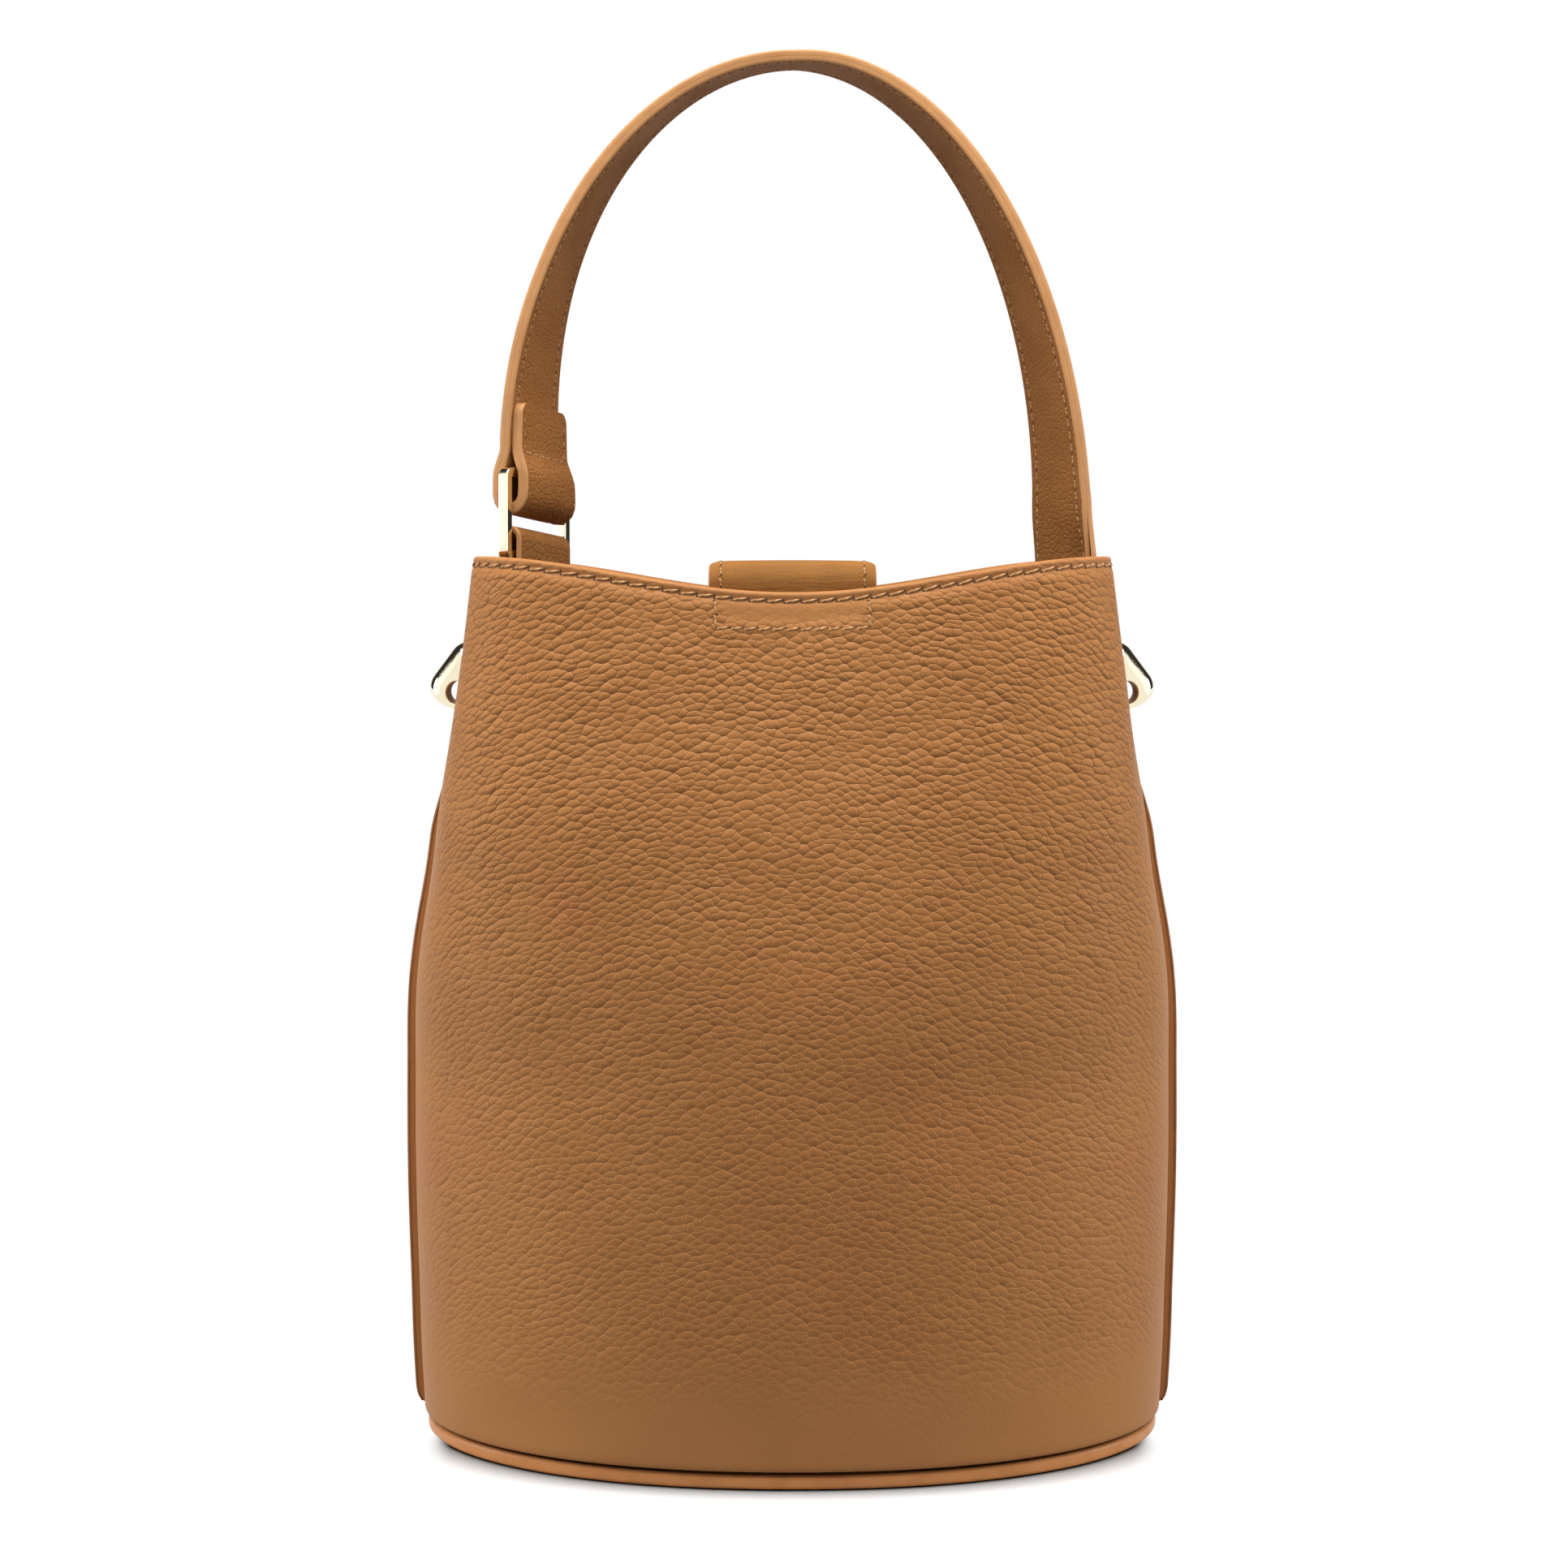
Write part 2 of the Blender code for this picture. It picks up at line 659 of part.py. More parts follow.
def seat_ring(side, height, thickness):
    """A ring of points round a strap that lies on the inside of the pinched wall at this height."""
    outer = []
    inner = []
    for step in range(ROOT_STEPS + 1):
        y = near_y + (far_y - near_y) * step / ROOT_STEPS
        outer.append(Vector((side * seat_x(-y, height, FACING_INSIDE + ROOT_SEAT_GAP), y, height)))
        inner_x = seat_x(-y, height, FACING_INSIDE + ROOT_SEAT_GAP + thickness)
        inner.append(Vector((side * inner_x, y, height)))
    return outer + inner[::-1]


def flat_ring(middle, across, outward, thickness):
    """The same ring of points round a flat strap."""
    outer = []
    inner = []
    for step in range(ROOT_STEPS + 1):
        edge = middle + across * (STRAP_WIDTH * (step / ROOT_STEPS - 0.5))
        outer.append(edge + outward * thickness / 2)
        inner.append(edge - outward * thickness / 2)
    return outer + inner[::-1]


def build_root(name, side, top, length, thickness):
    """The end of a strap sewn to the inside of the mouth."""
    heights = np.linspace(top - length, top, 5)
    loft(name, [seat_ring(side, height, thickness) for height in heights], TAN_LEATHER)


def build_bend(name, low, high):
    """The stretch of leather that flexes between a sewn root and the swinging strap."""
    rings = []
    for step in range(6):
        share = step / 5
        ease = smooth_step(share)
        ring = []
        for start, end in zip(low, high):
            point = start.lerp(end, ease)
            point.z = start.z + (end.z - start.z) * share
            ring.append(point)
        rings.append(ring)
    loft(name, rings, TAN_LEATHER)


def build_roots(frames):
    handle_root_top = BODY_HEIGHT - HANDLE_ROOT_DROP
    build_root("handle_root", 1, handle_root_top, HANDLE_ROOT_LENGTH, STRAP_THICKNESS)
    middle, travel, side = frames[-1]
    high = flat_ring(middle + travel * GAP, side, travel.cross(side), STRAP_THICKNESS)
    low = seat_ring(1, handle_root_top + GAP, STRAP_THICKNESS)
    build_bend("handle_bend", low, high)
    tab_thickness = 2 * TAB_PLY
    tab_root_top = tab_foot - TAB_BEND_LENGTH
    build_root("ring_tab_root", -1, tab_root_top, TAB_ROOT_LENGTH, tab_thickness)
    middle = ring_middle + Vector((0.0, 0.0, tab_foot - GAP))
    high = flat_ring(middle, ring_across, -ring_inward, 2 * tab_radius + TAB_PLY)
    low = seat_ring(-1, tab_root_top + GAP, tab_thickness)
    build_bend("ring_tab_bend", low, high)


# Closure tab: its path runs in the YZ plane, up from the back rim, over the mouth and down the front

tab_back = -seat_y(RIM_MIDDLE, FACING_INSIDE + GAP)
closure_axis = rim_height(CLOSURE_WIDTH / 2) + CLOSURE_LIFT
stand_off = SOCKET_HEIGHT + STUD_FLANGE + 3 * GAP
closure_middle = stand_off + STRAP_THICKNESS / 2


def front_seat(height):
    """The point of the front wall's middle at this height and its outward direction, as (y, z)."""
    step = 2 * MM
    slope = (seat_y(height + step, 0.0) - seat_y(height - step, 0.0)) / (2 * step)
    return Vector((seat_y(height, 0.0), height)), Vector((1.0, -slope)).normalized()


def closure_frames():
    start_y = tab_back + STRAP_THICKNESS / 2
    top = RIM_MIDDLE + CLOSURE_TOP - STRAP_THICKNESS / 2
    front = []
    for share in np.linspace(0.25, 1.0, 8):
        point, outward = front_seat(RIM_MIDDLE - CLOSURE_DROP * share)
        front.append(point + outward * closure_middle)
    corner_y = front[0].x - (front[1].x - front[0].x) * 1.5
    corners = [Vector((start_y, closure_axis)), Vector((start_y, top)), Vector((corner_y, top)), front[0]]
    path = rounded_path(corners, [top - closure_axis - GAP, closure_middle * 1.6]) + front[1:]
    points = [Vector((0.0, point.x, point.y)) for point in path]
    return strap_frames(points, [Vector((-1.0, 0.0, 0.0))] * len(points))


def closure_widths(frames):
    """Half widths along the tab, rounded off towards the front end."""
    end = frames[-1][0]
    widths = []
    for middle, _, _ in frames:
        short = max(0.0, CLOSURE_END_RADIUS - (end - middle).length)
        rounding = CLOSURE_END_RADIUS - math.sqrt(CLOSURE_END_RADIUS**2 - (0.95 * short) ** 2)
        widths.append(CLOSURE_WIDTH / 2 - rounding)
    return widths


def with_end_steps(frames):
    """The frames with extra steps in the last stretch, so that the rounded end is even."""
    middle, travel, side = frames[-1]
    before = frames[-2][0]
    extra = []
    for share in (0.35, 0.6, 0.8, 0.92):
        extra.append((before.lerp(middle, share), travel, side))
    return frames[:-1] + extra + frames[-1:]


def build_closure_root():
    """The root of the tab, sewn to the inside of the back below the rim."""
    low = RIM_MIDDLE - CLOSURE_ROOT_LENGTH
    rings = []
    for height in np.linspace(low, closure_axis - GAP, 4):
        back = -seat_y(min(height, RIM_MIDDLE), FACING_INSIDE + GAP)
        ring = []
        for x, y in ((-1, 0), (1, 0), (1, 1), (-1, 1)):
            ring.append(Vector((x * CLOSURE_WIDTH / 2, back + y * STRAP_THICKNESS, height)))
        rings.append(ring)
    loft("closure_tab_root", rings, TAN_LEATHER)


def build_closure():
    build_closure_root()
    frames = with_end_steps(closure_frames())
    widths = closure_widths(frames)
    offset = (STRAP_PLY + GAP) / 2
    outer = strap("closure_tab", frames, widths, offset, STRAP_PLY)
    inner = strap("closure_tab_lining", frames, widths, -offset, STRAP_PLY)
    return outer, inner


def build_snap(outer, inner):
    """The magnetic snap, all its pieces on one axis square to the front wall."""
    point, outward = front_seat(RIM_MIDDLE - SNAP_DROP)
    frame = frame_at((0.0, point.x, point.y), (0.0, outward.x, outward.y))
    hole = SHANK_RADIUS + GAP
    metal = {"roughness": 0.2, "metallic": 1.0}
    socket_top = GAP + SOCKET_HEIGHT
    wall = 2 * GAP
    recess = STUD_RADIUS + 2 * GAP
    recess_floor = socket_top - SOCKET_RECESS
    groove = recess + wall
    washer_top = -(LEATHER + 2 * GAP)
    socket = [
        (0.0, recess_floor),
        (recess, recess_floor),
        (recess, socket_top),
        (SNAP_RADIUS - wall, socket_top),
        (SNAP_RADIUS, socket_top - wall),
        (SNAP_RADIUS, GAP),
        (SNAP_RADIUS - wall, GAP),
        (SNAP_RADIUS - wall, socket_top - wall),
        (groove, socket_top - wall),
        (groove, GAP),
        (SHANK_RADIUS, GAP),
        (SHANK_RADIUS, washer_top - SNAP_WASHER),
        (0.0, washer_top - SNAP_WASHER),
    ]
    turned("snap_socket", frame, socket, PALE_GOLD, **metal)
    magnet_top = socket_top - wall - GAP
    magnet = [
        (groove + GAP, magnet_top),
        (SNAP_RADIUS - wall - GAP, magnet_top),
        (SNAP_RADIUS - wall - GAP, 2 * GAP),
        (groove + GAP, 2 * GAP),
    ]
    turned("snap_magnet", frame, magnet, MAGNET, ring=True, roughness=0.4)
    washer = [
        (hole, washer_top),
        (SNAP_RADIUS - GAP, washer_top),
        (SNAP_RADIUS - GAP, washer_top - SNAP_WASHER),
        (hole, washer_top - SNAP_WASHER),
    ]
    turned("snap_socket_washer", frame, washer, PALE_GOLD, ring=True, **metal)
    flange_foot = socket_top + GAP
    flange_top = flange_foot + STUD_FLANGE
    rivet = stand_off + STRAP_PLY + GAP + SNAP_WASHER
    stud = [
        (0.0, rivet),
        (SHANK_RADIUS, rivet),
        (SHANK_RADIUS, flange_top),
        (SNAP_RADIUS - wall, flange_top),
        (SNAP_RADIUS - wall, flange_foot),
        (STUD_RADIUS, flange_foot),
        (STUD_RADIUS, recess_floor + GAP),
        (0.0, recess_floor + GAP),
    ]
    turned("snap_stud", frame, stud, PALE_GOLD, **metal)
    stud_washer_foot = stand_off + STRAP_PLY + GAP
    stud_washer = [
        (hole, stud_washer_foot + SNAP_WASHER),
        (STUD_WASHER_RADIUS, stud_washer_foot + SNAP_WASHER),
        (STUD_WASHER_RADIUS, stud_washer_foot),
        (hole, stud_washer_foot),
    ]
    turned("snap_stud_washer", frame, stud_washer, PALE_GOLD, ring=True, **metal)
    cut(front_panel, round_cutter("socket_hole", frame, hole, -2 * LEATHER, LEATHER))
    window = round_cutter("washer_window", frame, SNAP_RADIUS + GAP, -2 * FACING_INSIDE, 0.0)
    cut(front_stiffener, window)
    cut(inner, round_cutter("stud_hole", frame, hole, stand_off - GAP, stand_off + STRAP_PLY + GAP))
    pocket_top = stud_washer_foot + SNAP_WASHER + GAP
    pocket = round_cutter("stud_pocket", frame, STUD_WASHER_RADIUS + GAP, stand_off + STRAP_PLY, pocket_top)
    cut(outer, pocket)


# Strap lugs: each lies in the upright plane of its seam, square to the sloping seam line


def lug_outline():
    """The lug's outline as (outwards, up the seam)."""
    corners = [
        (LUG_FOOT, -LUG_LOW),
        (LUG_REACH, -LUG_LOW),
        (LUG_REACH - LUG_SLANT, LUG_HIGH),
        (LUG_FOOT, LUG_HIGH),
    ]
    radii = [LUG_FOOT_RADIUS, LUG_NOSE_RADIUS, LUG_NOSE_RADIUS, LUG_FOOT_RADIUS]
    return rounded_loop([Vector(corner) for corner in corners], radii)


def build_lug(side_name, side):
    seam_height = BODY_HEIGHT - LUG_DROP
    reach = LUG_LOW
    high_x = seat_x(0.0, seam_height + reach, 0.0)
    low_x = seat_x(0.0, seam_height - reach, 0.0)
    lean = math.atan2(low_x - high_x, 2 * reach)
    seam = Vector((side * (low_x + high_x) / 2, 0.0, seam_height))
    outward = Vector((side * math.cos(lean), 0.0, math.sin(lean)))
    upward = Vector((-side * math.sin(lean), 0.0, math.cos(lean)))
    still = Vector((0.15 * LUG_REACH, -0.8 * LUG_LOW))
    rings = []
    for share in (-1.0, -0.92, -0.75, -0.45, 0.0, 0.45, 0.75, 0.92, 1.0):
        scale = LUG_FACE_SCALE + (1 - LUG_FACE_SCALE) * math.sqrt(1 - share * share)
        ring = []
        for point in lug_outline():
            moved = still + (point - still) * scale
            moved.x = max(moved.x, LUG_FOOT)
            place = seam + outward * moved.x + upward * moved.y
            place.y = share * LUG_HALF_THICKNESS
            ring.append(place)
        rings.append(ring)
    metal = {"roughness": 0.2, "metallic": 1.0}
    lug = loft("strap_lug_" + side_name, rings, PALE_GOLD, **metal)
    eye = seam + outward * LUG_EYE_REACH - upward * LUG_EYE_DROP
    thick = 2 * LUG_HALF_THICKNESS
    cut(lug, round_cutter("lug_eye_" + side_name, frame_at(eye, (0, 1, 0)), LUG_EYE_RADIUS, -thick, thick))
    frame = frame_at(seam + upward * SCREW_RISE, outward)
    hole = SCREW_RADIUS + GAP
    bore_end = LUG_BORE_DEPTH
    cut(lug, round_cutter("lug_bore_" + side_name, frame, hole, -2 * LUG_FOOT, bore_end))
    wall_hole = round_cutter("lug_hole_" + side_name, frame, hole, -3 * FACING_INSIDE, 0.8 * LUG_REACH)
    for layer in (back_panel, front_panel, mouth_facing):
        cut(layer, wall_hole)
    washer_top = -(FACING_INSIDE + 3 * GAP)
    washer_foot = washer_top - LUG_WASHER_THICKNESS
    washer = [
        (hole, washer_top),
        (LUG_WASHER_RADIUS, washer_top),
        (LUG_WASHER_RADIUS, washer_foot),
        (hole, washer_foot),
    ]
    turned("lug_washer_" + side_name, frame, washer, PALE_GOLD, ring=True, **metal)
    head_top = washer_foot - GAP
    head_foot = head_top - SCREW_HEAD_HEIGHT
    screw = [
        (0.0, bore_end - GAP),
        (SCREW_RADIUS, bore_end - GAP),
        (SCREW_RADIUS, head_top),
        (SCREW_HEAD_RADIUS, head_top),
        (SCREW_HEAD_RADIUS, head_foot + SCREW_HEAD_HEIGHT / 2),
        (0.7 * SCREW_HEAD_RADIUS, head_foot),
        (0.0, head_foot),
    ]
    turned("lug_screw_" + side_name, frame, screw, PALE_GOLD, **metal)


strap_path = build_handle()
build_ring()
build_ring_tab()
build_roots(strap_path)
closure_outer, closure_inner = build_closure()
build_snap(closure_outer, closure_inner)
build_lug("left", -1)
build_lug("right", 1)
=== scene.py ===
"""Looks of the bucket bag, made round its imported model: leather, thread, metal, lining, light and camera."""

import functools
import math

import bmesh
import bpy
import numpy as np
from mathutils import Matrix, Vector, noise


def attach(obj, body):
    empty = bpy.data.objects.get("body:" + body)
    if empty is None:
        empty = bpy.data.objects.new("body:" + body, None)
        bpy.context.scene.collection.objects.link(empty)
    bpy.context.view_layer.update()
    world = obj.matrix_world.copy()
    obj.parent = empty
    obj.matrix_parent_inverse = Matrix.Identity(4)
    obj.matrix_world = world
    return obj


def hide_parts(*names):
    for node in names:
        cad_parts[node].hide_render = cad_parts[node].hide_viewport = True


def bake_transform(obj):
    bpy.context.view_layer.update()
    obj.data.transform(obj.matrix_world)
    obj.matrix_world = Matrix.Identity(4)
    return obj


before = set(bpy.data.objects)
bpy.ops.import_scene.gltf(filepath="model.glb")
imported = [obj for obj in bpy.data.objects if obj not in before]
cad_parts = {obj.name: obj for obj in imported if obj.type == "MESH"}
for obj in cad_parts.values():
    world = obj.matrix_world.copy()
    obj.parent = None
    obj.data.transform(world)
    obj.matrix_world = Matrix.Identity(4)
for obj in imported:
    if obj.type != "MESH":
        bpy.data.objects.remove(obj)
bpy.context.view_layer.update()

MM = 0.001
MERGE_DISTANCE = 0.001 * MM

# Body: half lengths run along X and half depths along Y, from the foot of the wall to the mouth
BODY_HEIGHT = 225.0 * MM
HALF_LENGTHS = np.array([95.6, 96.9, 98.1, 92.6, 86.8, 82.2]) * MM
HALF_DEPTHS = np.array([60.7, 61.0, 59.8, 55.5, 50.0, 46.0]) * MM
STATION_SHARES = np.array([0.14, 0.42, 0.66, 0.835, 1.0])
FOOT_SQUARENESS = 2.1
MOUTH_SQUARENESS = 4.2
MOUTH_HALF_LENGTH = HALF_LENGTHS[-1]
RIM_DIP = 9.0 * MM
PINCH_DEPTH = 13.0 * MM
PINCH_HALF_WIDTH = 26.0 * MM
PINCH_LENGTH = 62.5 * MM

# Layers of the wall and the base
GAP = 0.3 * MM
LEATHER = 1.4 * MM
SEAM = LEATHER + GAP / 2
FACING_OUTSIDE = 2.0 * MM
FACING_INSIDE = 3.0 * MM
FACING_HEIGHT = 42.0 * MM
FACING_FOOT = BODY_HEIGHT - FACING_HEIGHT
LINING_OUTSIDE = 3.5 * MM
LINING = 0.6 * MM
FLANGE = 2.2 * MM
FLANGE_LIP = 0.25 * MM
FLANGE_TAPER = 20.0 * MM
FLANGE_ROUNDING = 5.0 * MM
BASE_THICKNESS = 4.0 * MM
BASE_INSET = 0.9 * MM
WALL_FOOT = BASE_THICKNESS + GAP
LINING_FOOT = WALL_FOOT + 2.0 * MM + GAP
RIM_MIDDLE = BODY_HEIGHT - RIM_DIP
STATIONS = np.append(WALL_FOOT, STATION_SHARES * BODY_HEIGHT)
SIDE_POINTS = 120
LINING_STEPS = 24

# Handle, ring and ring tab
HANDLE_RISE = 127.6 * MM
HANDLE_SPRING = 29.5 * MM
HANDLE_PLANE = -14.0 * MM
HANDLE_TOP_CANT = math.radians(-5.0)
HANDLE_LEFT_EASE = 1.6
ARCH_STEPS = 160
STRAP_WIDTH = 24.8 * MM
STRAP_PLY = 1.2 * MM
STRAP_THICKNESS = 2 * STRAP_PLY + GAP
STRAP_CORNER = 3.0 * MM
END_STEPS = np.array([0.0, 0.15, 0.4, 0.8, 1.3, 1.9, 2.6, 3.4]) * MM
PLY_OFFSET = (STRAP_PLY + GAP) / 2
HANDLE_RIGHT_SPRING = 8.6 * MM
SWING_AXIS = BODY_HEIGHT + 3.5 * MM
SWING_CLEARANCE = 10.0 * MM
ROOT_SEAT = FACING_INSIDE + 0.8 * MM
HANDLE_ROOT_TOP = BODY_HEIGHT - 3.5 * MM
HANDLE_ROOT_LENGTH = 17.0 * MM
BEND_GAP = 0.02 * MM
RING_BAR = 2.6 * MM
RING_INNER_WIDTH = 26.0 * MM
RING_HEIGHT = 23.5 * MM
RING_FOOT = BODY_HEIGHT - 1.0 * MM
RING_TOP = RING_FOOT + RING_HEIGHT
LOOP_PLAY = 1.0 * MM
LOOP_DROP = 13.0 * MM
FOLD_LENGTH = 28.5 * MM
TAB_PLY = 1.2 * MM
TAB_APEX = 6.5 * MM
TAB_WALL_GAP = 2.1 * MM
TAB_FOOT = RING_FOOT - 2.5 * GAP
TAB_ROOT_TOP = TAB_FOOT - 9.5 * MM
TAB_ROOT_LENGTH = 12.0 * MM
SPRING_LINE = BODY_HEIGHT + HANDLE_SPRING

# Closure tab and its magnetic snap
CLOSURE_WIDTH = 41.5 * MM
CLOSURE_TOP = 7.8 * MM
CLOSURE_ROOT_LENGTH = 14.0 * MM
CLOSURE_DROP = 62.0 * MM
CLOSURE_LIFT = 0.9 * MM
CLOSURE_END_RADIUS = 12.0 * MM
SNAP_DROP = 46.0 * MM
SNAP_RADIUS = 9.0 * MM
SOCKET_HEIGHT = 2.6 * MM
SOCKET_RECESS = 1.9 * MM
STUD_FLANGE = 0.8 * MM
STUD_RADIUS = 3.4 * MM

# Strap lugs
LUG_DROP = 34.5 * MM
LUG_REACH = 14.6 * MM
LUG_LOW = 7.8 * MM
LUG_HIGH = 10.4 * MM
LUG_SLANT = 4.2 * MM
LUG_HALF_THICKNESS = 5.5 * MM
LUG_FACE_SCALE = 0.62
LUG_FOOT = 0.6 * MM
LUG_FOOT_RADIUS = 1.5 * MM
LUG_NOSE_RADIUS = 5.0 * MM
LUG_EYE_RADIUS = 3.0 * MM
LUG_EYE_REACH = 5.1 * MM
LUG_EYE_DROP = 3.0 * MM
LUG_CHAMFER = 0.35 * MM
SCREW_RISE = 5.0 * MM
SCREW_HEAD_RADIUS = 3.5 * MM
SCREW_HEAD_HEIGHT = 1.8 * MM
LUG_WASHER_RADIUS = 4.5 * MM
LUG_WASHER_THICKNESS = 0.8 * MM

# Looks: turned edges, stitches and soft forms
RIM_ROLL = 1.0 * MM
FOOT_ROLL = 1.1 * MM
PANEL_PLY = 0.6 * MM
RIM_STITCH_DROP = 2.2 * MM
RIM_STITCH_SEAT = 0.2 * MM
RIM_DIP_DEPTH = 0.42 * MM
RIM_DIP_WIDTH = 0.8 * MM
STITCH_SINK = 0.05
STRAP_STITCH_INSET = 2.8 * MM
STRAP_STITCH_LINE = STRAP_WIDTH / 2 - STRAP_STITCH_INSET
STRAP_GROOVE = 0.16 * MM
FIRST_STITCH = 2.4 * MM
ARCH_FIRST_STITCH = 58.0 * MM
FOLD_UNSEWN = 15.5 * MM
CLOSURE_STITCH_INSET = 3.0 * MM
CLOSURE_GROOVE = 0.10 * MM
CLOSURE_TURNED_EDGE = 2.8 * MM
CLOSURE_EDGE_DROP = 1.1 * MM
CLOSURE_ARCH = 0.25 * MM
GROOVE_WIDTH = 0.75 * MM
CALM_REACH = 30.0 * MM
BOX_HALF_WIDTH = 18.9 * MM
BOX_HEIGHT = 6.9 * MM
BOX_FADE = 3.0 * MM
LOOP_SLOPE = math.tan(math.radians(5.5))
FOLD_TAPER = 0.10
RING_VISUAL_CORNER = 1.4 * MM
RING_EASE = 0.32 * MM
TURNED_EASE = 0.12 * MM
TURNED_STEPS = 56
BASE_GROOVE = 0.6 * MM
VISUAL_PLY = 1.46 * MM
EDGE_DOME = 0.32 * MM
STITCH_SEAT = VISUAL_PLY / 2 - 0.05 * MM
ROOT_INSETS = (ROOT_SEAT + VISUAL_PLY / 2, ROOT_SEAT + VISUAL_PLY * 1.5)

# Stitches as pitch, length, radius of the thread and tilt
RIM_STITCH = (4.25 * MM, 4.1 * MM, 0.35 * MM, 0.2)
BOX_STITCH = (3.5 * MM, 3.4 * MM, 0.35 * MM, 0.2)
STRAP_STITCH = (3.1 * MM, 2.5 * MM, 0.30 * MM, 0.12)
CLOSURE_STITCH = (3.1 * MM, 2.4 * MM, 0.24 * MM, 0.12)

# Soft unevenness of the panels as size and height
SWELLS = ((55.0 * MM, 0.55 * MM), (21.0 * MM, 0.22 * MM))

# Floor and its shadow
FLOOR_DROP = 0.2 * MM
SHADOW_HALF_LENGTH = 88.0 * MM
SHADOW_HALF_DEPTH = 62.0 * MM
SHADOW_SHIFT = 22.0 * MM
SHADOW_REACH = 22.0 * MM

# Camera
CAMERA_PLACE = (-0.0021, -0.733, 0.2179)
CAMERA_LENS = 64.27
CAMERA_SENSOR = 36.0
CAMERA_SHIFT = -0.1273

# Linear colours
TAN = (0.40, 0.165, 0.048)
TAN_PALE = (0.43, 0.182, 0.054)
# Colour of the painted shade in the creases and across the panel's middle
TAN_PAINTED_SHADE = (0.17, 0.058, 0.015)
TAN_RED = (0.42, 0.148, 0.048)
# Pale tan of the painted highlights on the crease lips; also mixed in where the grain is calm
TAN_LIP = (0.62, 0.31, 0.13)
HANDLE_TAN = (0.357, 0.148, 0.043)
TAB_TAN = (0.312, 0.135, 0.0365)
EDGE_PAINT = (0.565, 0.283, 0.112)
EDGE_PAINT_DARK = (0.50, 0.235, 0.09)
SEAM_PAINT = (0.33, 0.135, 0.047)
SEAM_PAINT_DARK = (0.24, 0.09, 0.03)
BASE_PAINT = (0.72, 0.30, 0.10)
BASE_PAINT_DARK = (0.62, 0.25, 0.078)
THREAD = (0.57, 0.31, 0.115)
THREAD_GROOVE_SHADE = (0.34, 0.16, 0.055)
HOLE_SHADE = (0.09, 0.04, 0.018)
HOLE_SHADE_DEEP = (0.06, 0.025, 0.012)
GOLD = (0.94, 0.86, 0.65)
GOLD_DEEP = (0.92, 0.82, 0.60)
BORE_SHADE_GOLD = (0.34, 0.22, 0.10)
BORE_SHADE_GOLD_DEEP = (0.26, 0.16, 0.07)
SUEDE = (0.36, 0.23, 0.135)
SUEDE_DARK = (0.22, 0.135, 0.075)
BOARD = (0.30, 0.25, 0.20)
BOARD_DARK = (0.24, 0.20, 0.16)
MAGNET = (0.10, 0.10, 0.11)
MAGNET_DARK = (0.07, 0.07, 0.08)
WHITE = (1.0, 1.0, 1.0)
FLOOR_LIT = (0.9, 0.9, 0.9)
FLOOR_BOUNCE = (0.36, 0.36, 0.36)
FLOOR_SHADOW = (0.03, 0.027, 0.022)


# Shader maths: a value of a node tree, and the tree that it belongs to


class Value:
    """One output of a node; arithmetic on it adds Math nodes."""

    def __init__(self, finish, socket):
        self.finish = finish
        self.socket = socket

    def maths(self, operation, first, second):
        return self.finish.node("ShaderNodeMath", {"operation": operation}, {0: first, 1: second})

    def __add__(self, other):
        return self.maths("ADD", self, other)

    def __sub__(self, other):
        return self.maths("SUBTRACT", self, other)

    def __rsub__(self, other):
        return self.maths("SUBTRACT", other, self)

    def __mul__(self, other):
        return self.maths("MULTIPLY", self, other)

    def __truediv__(self, other):
        return self.maths("DIVIDE", self, other)

    def __pow__(self, other):
        return self.maths("POWER", self, other)


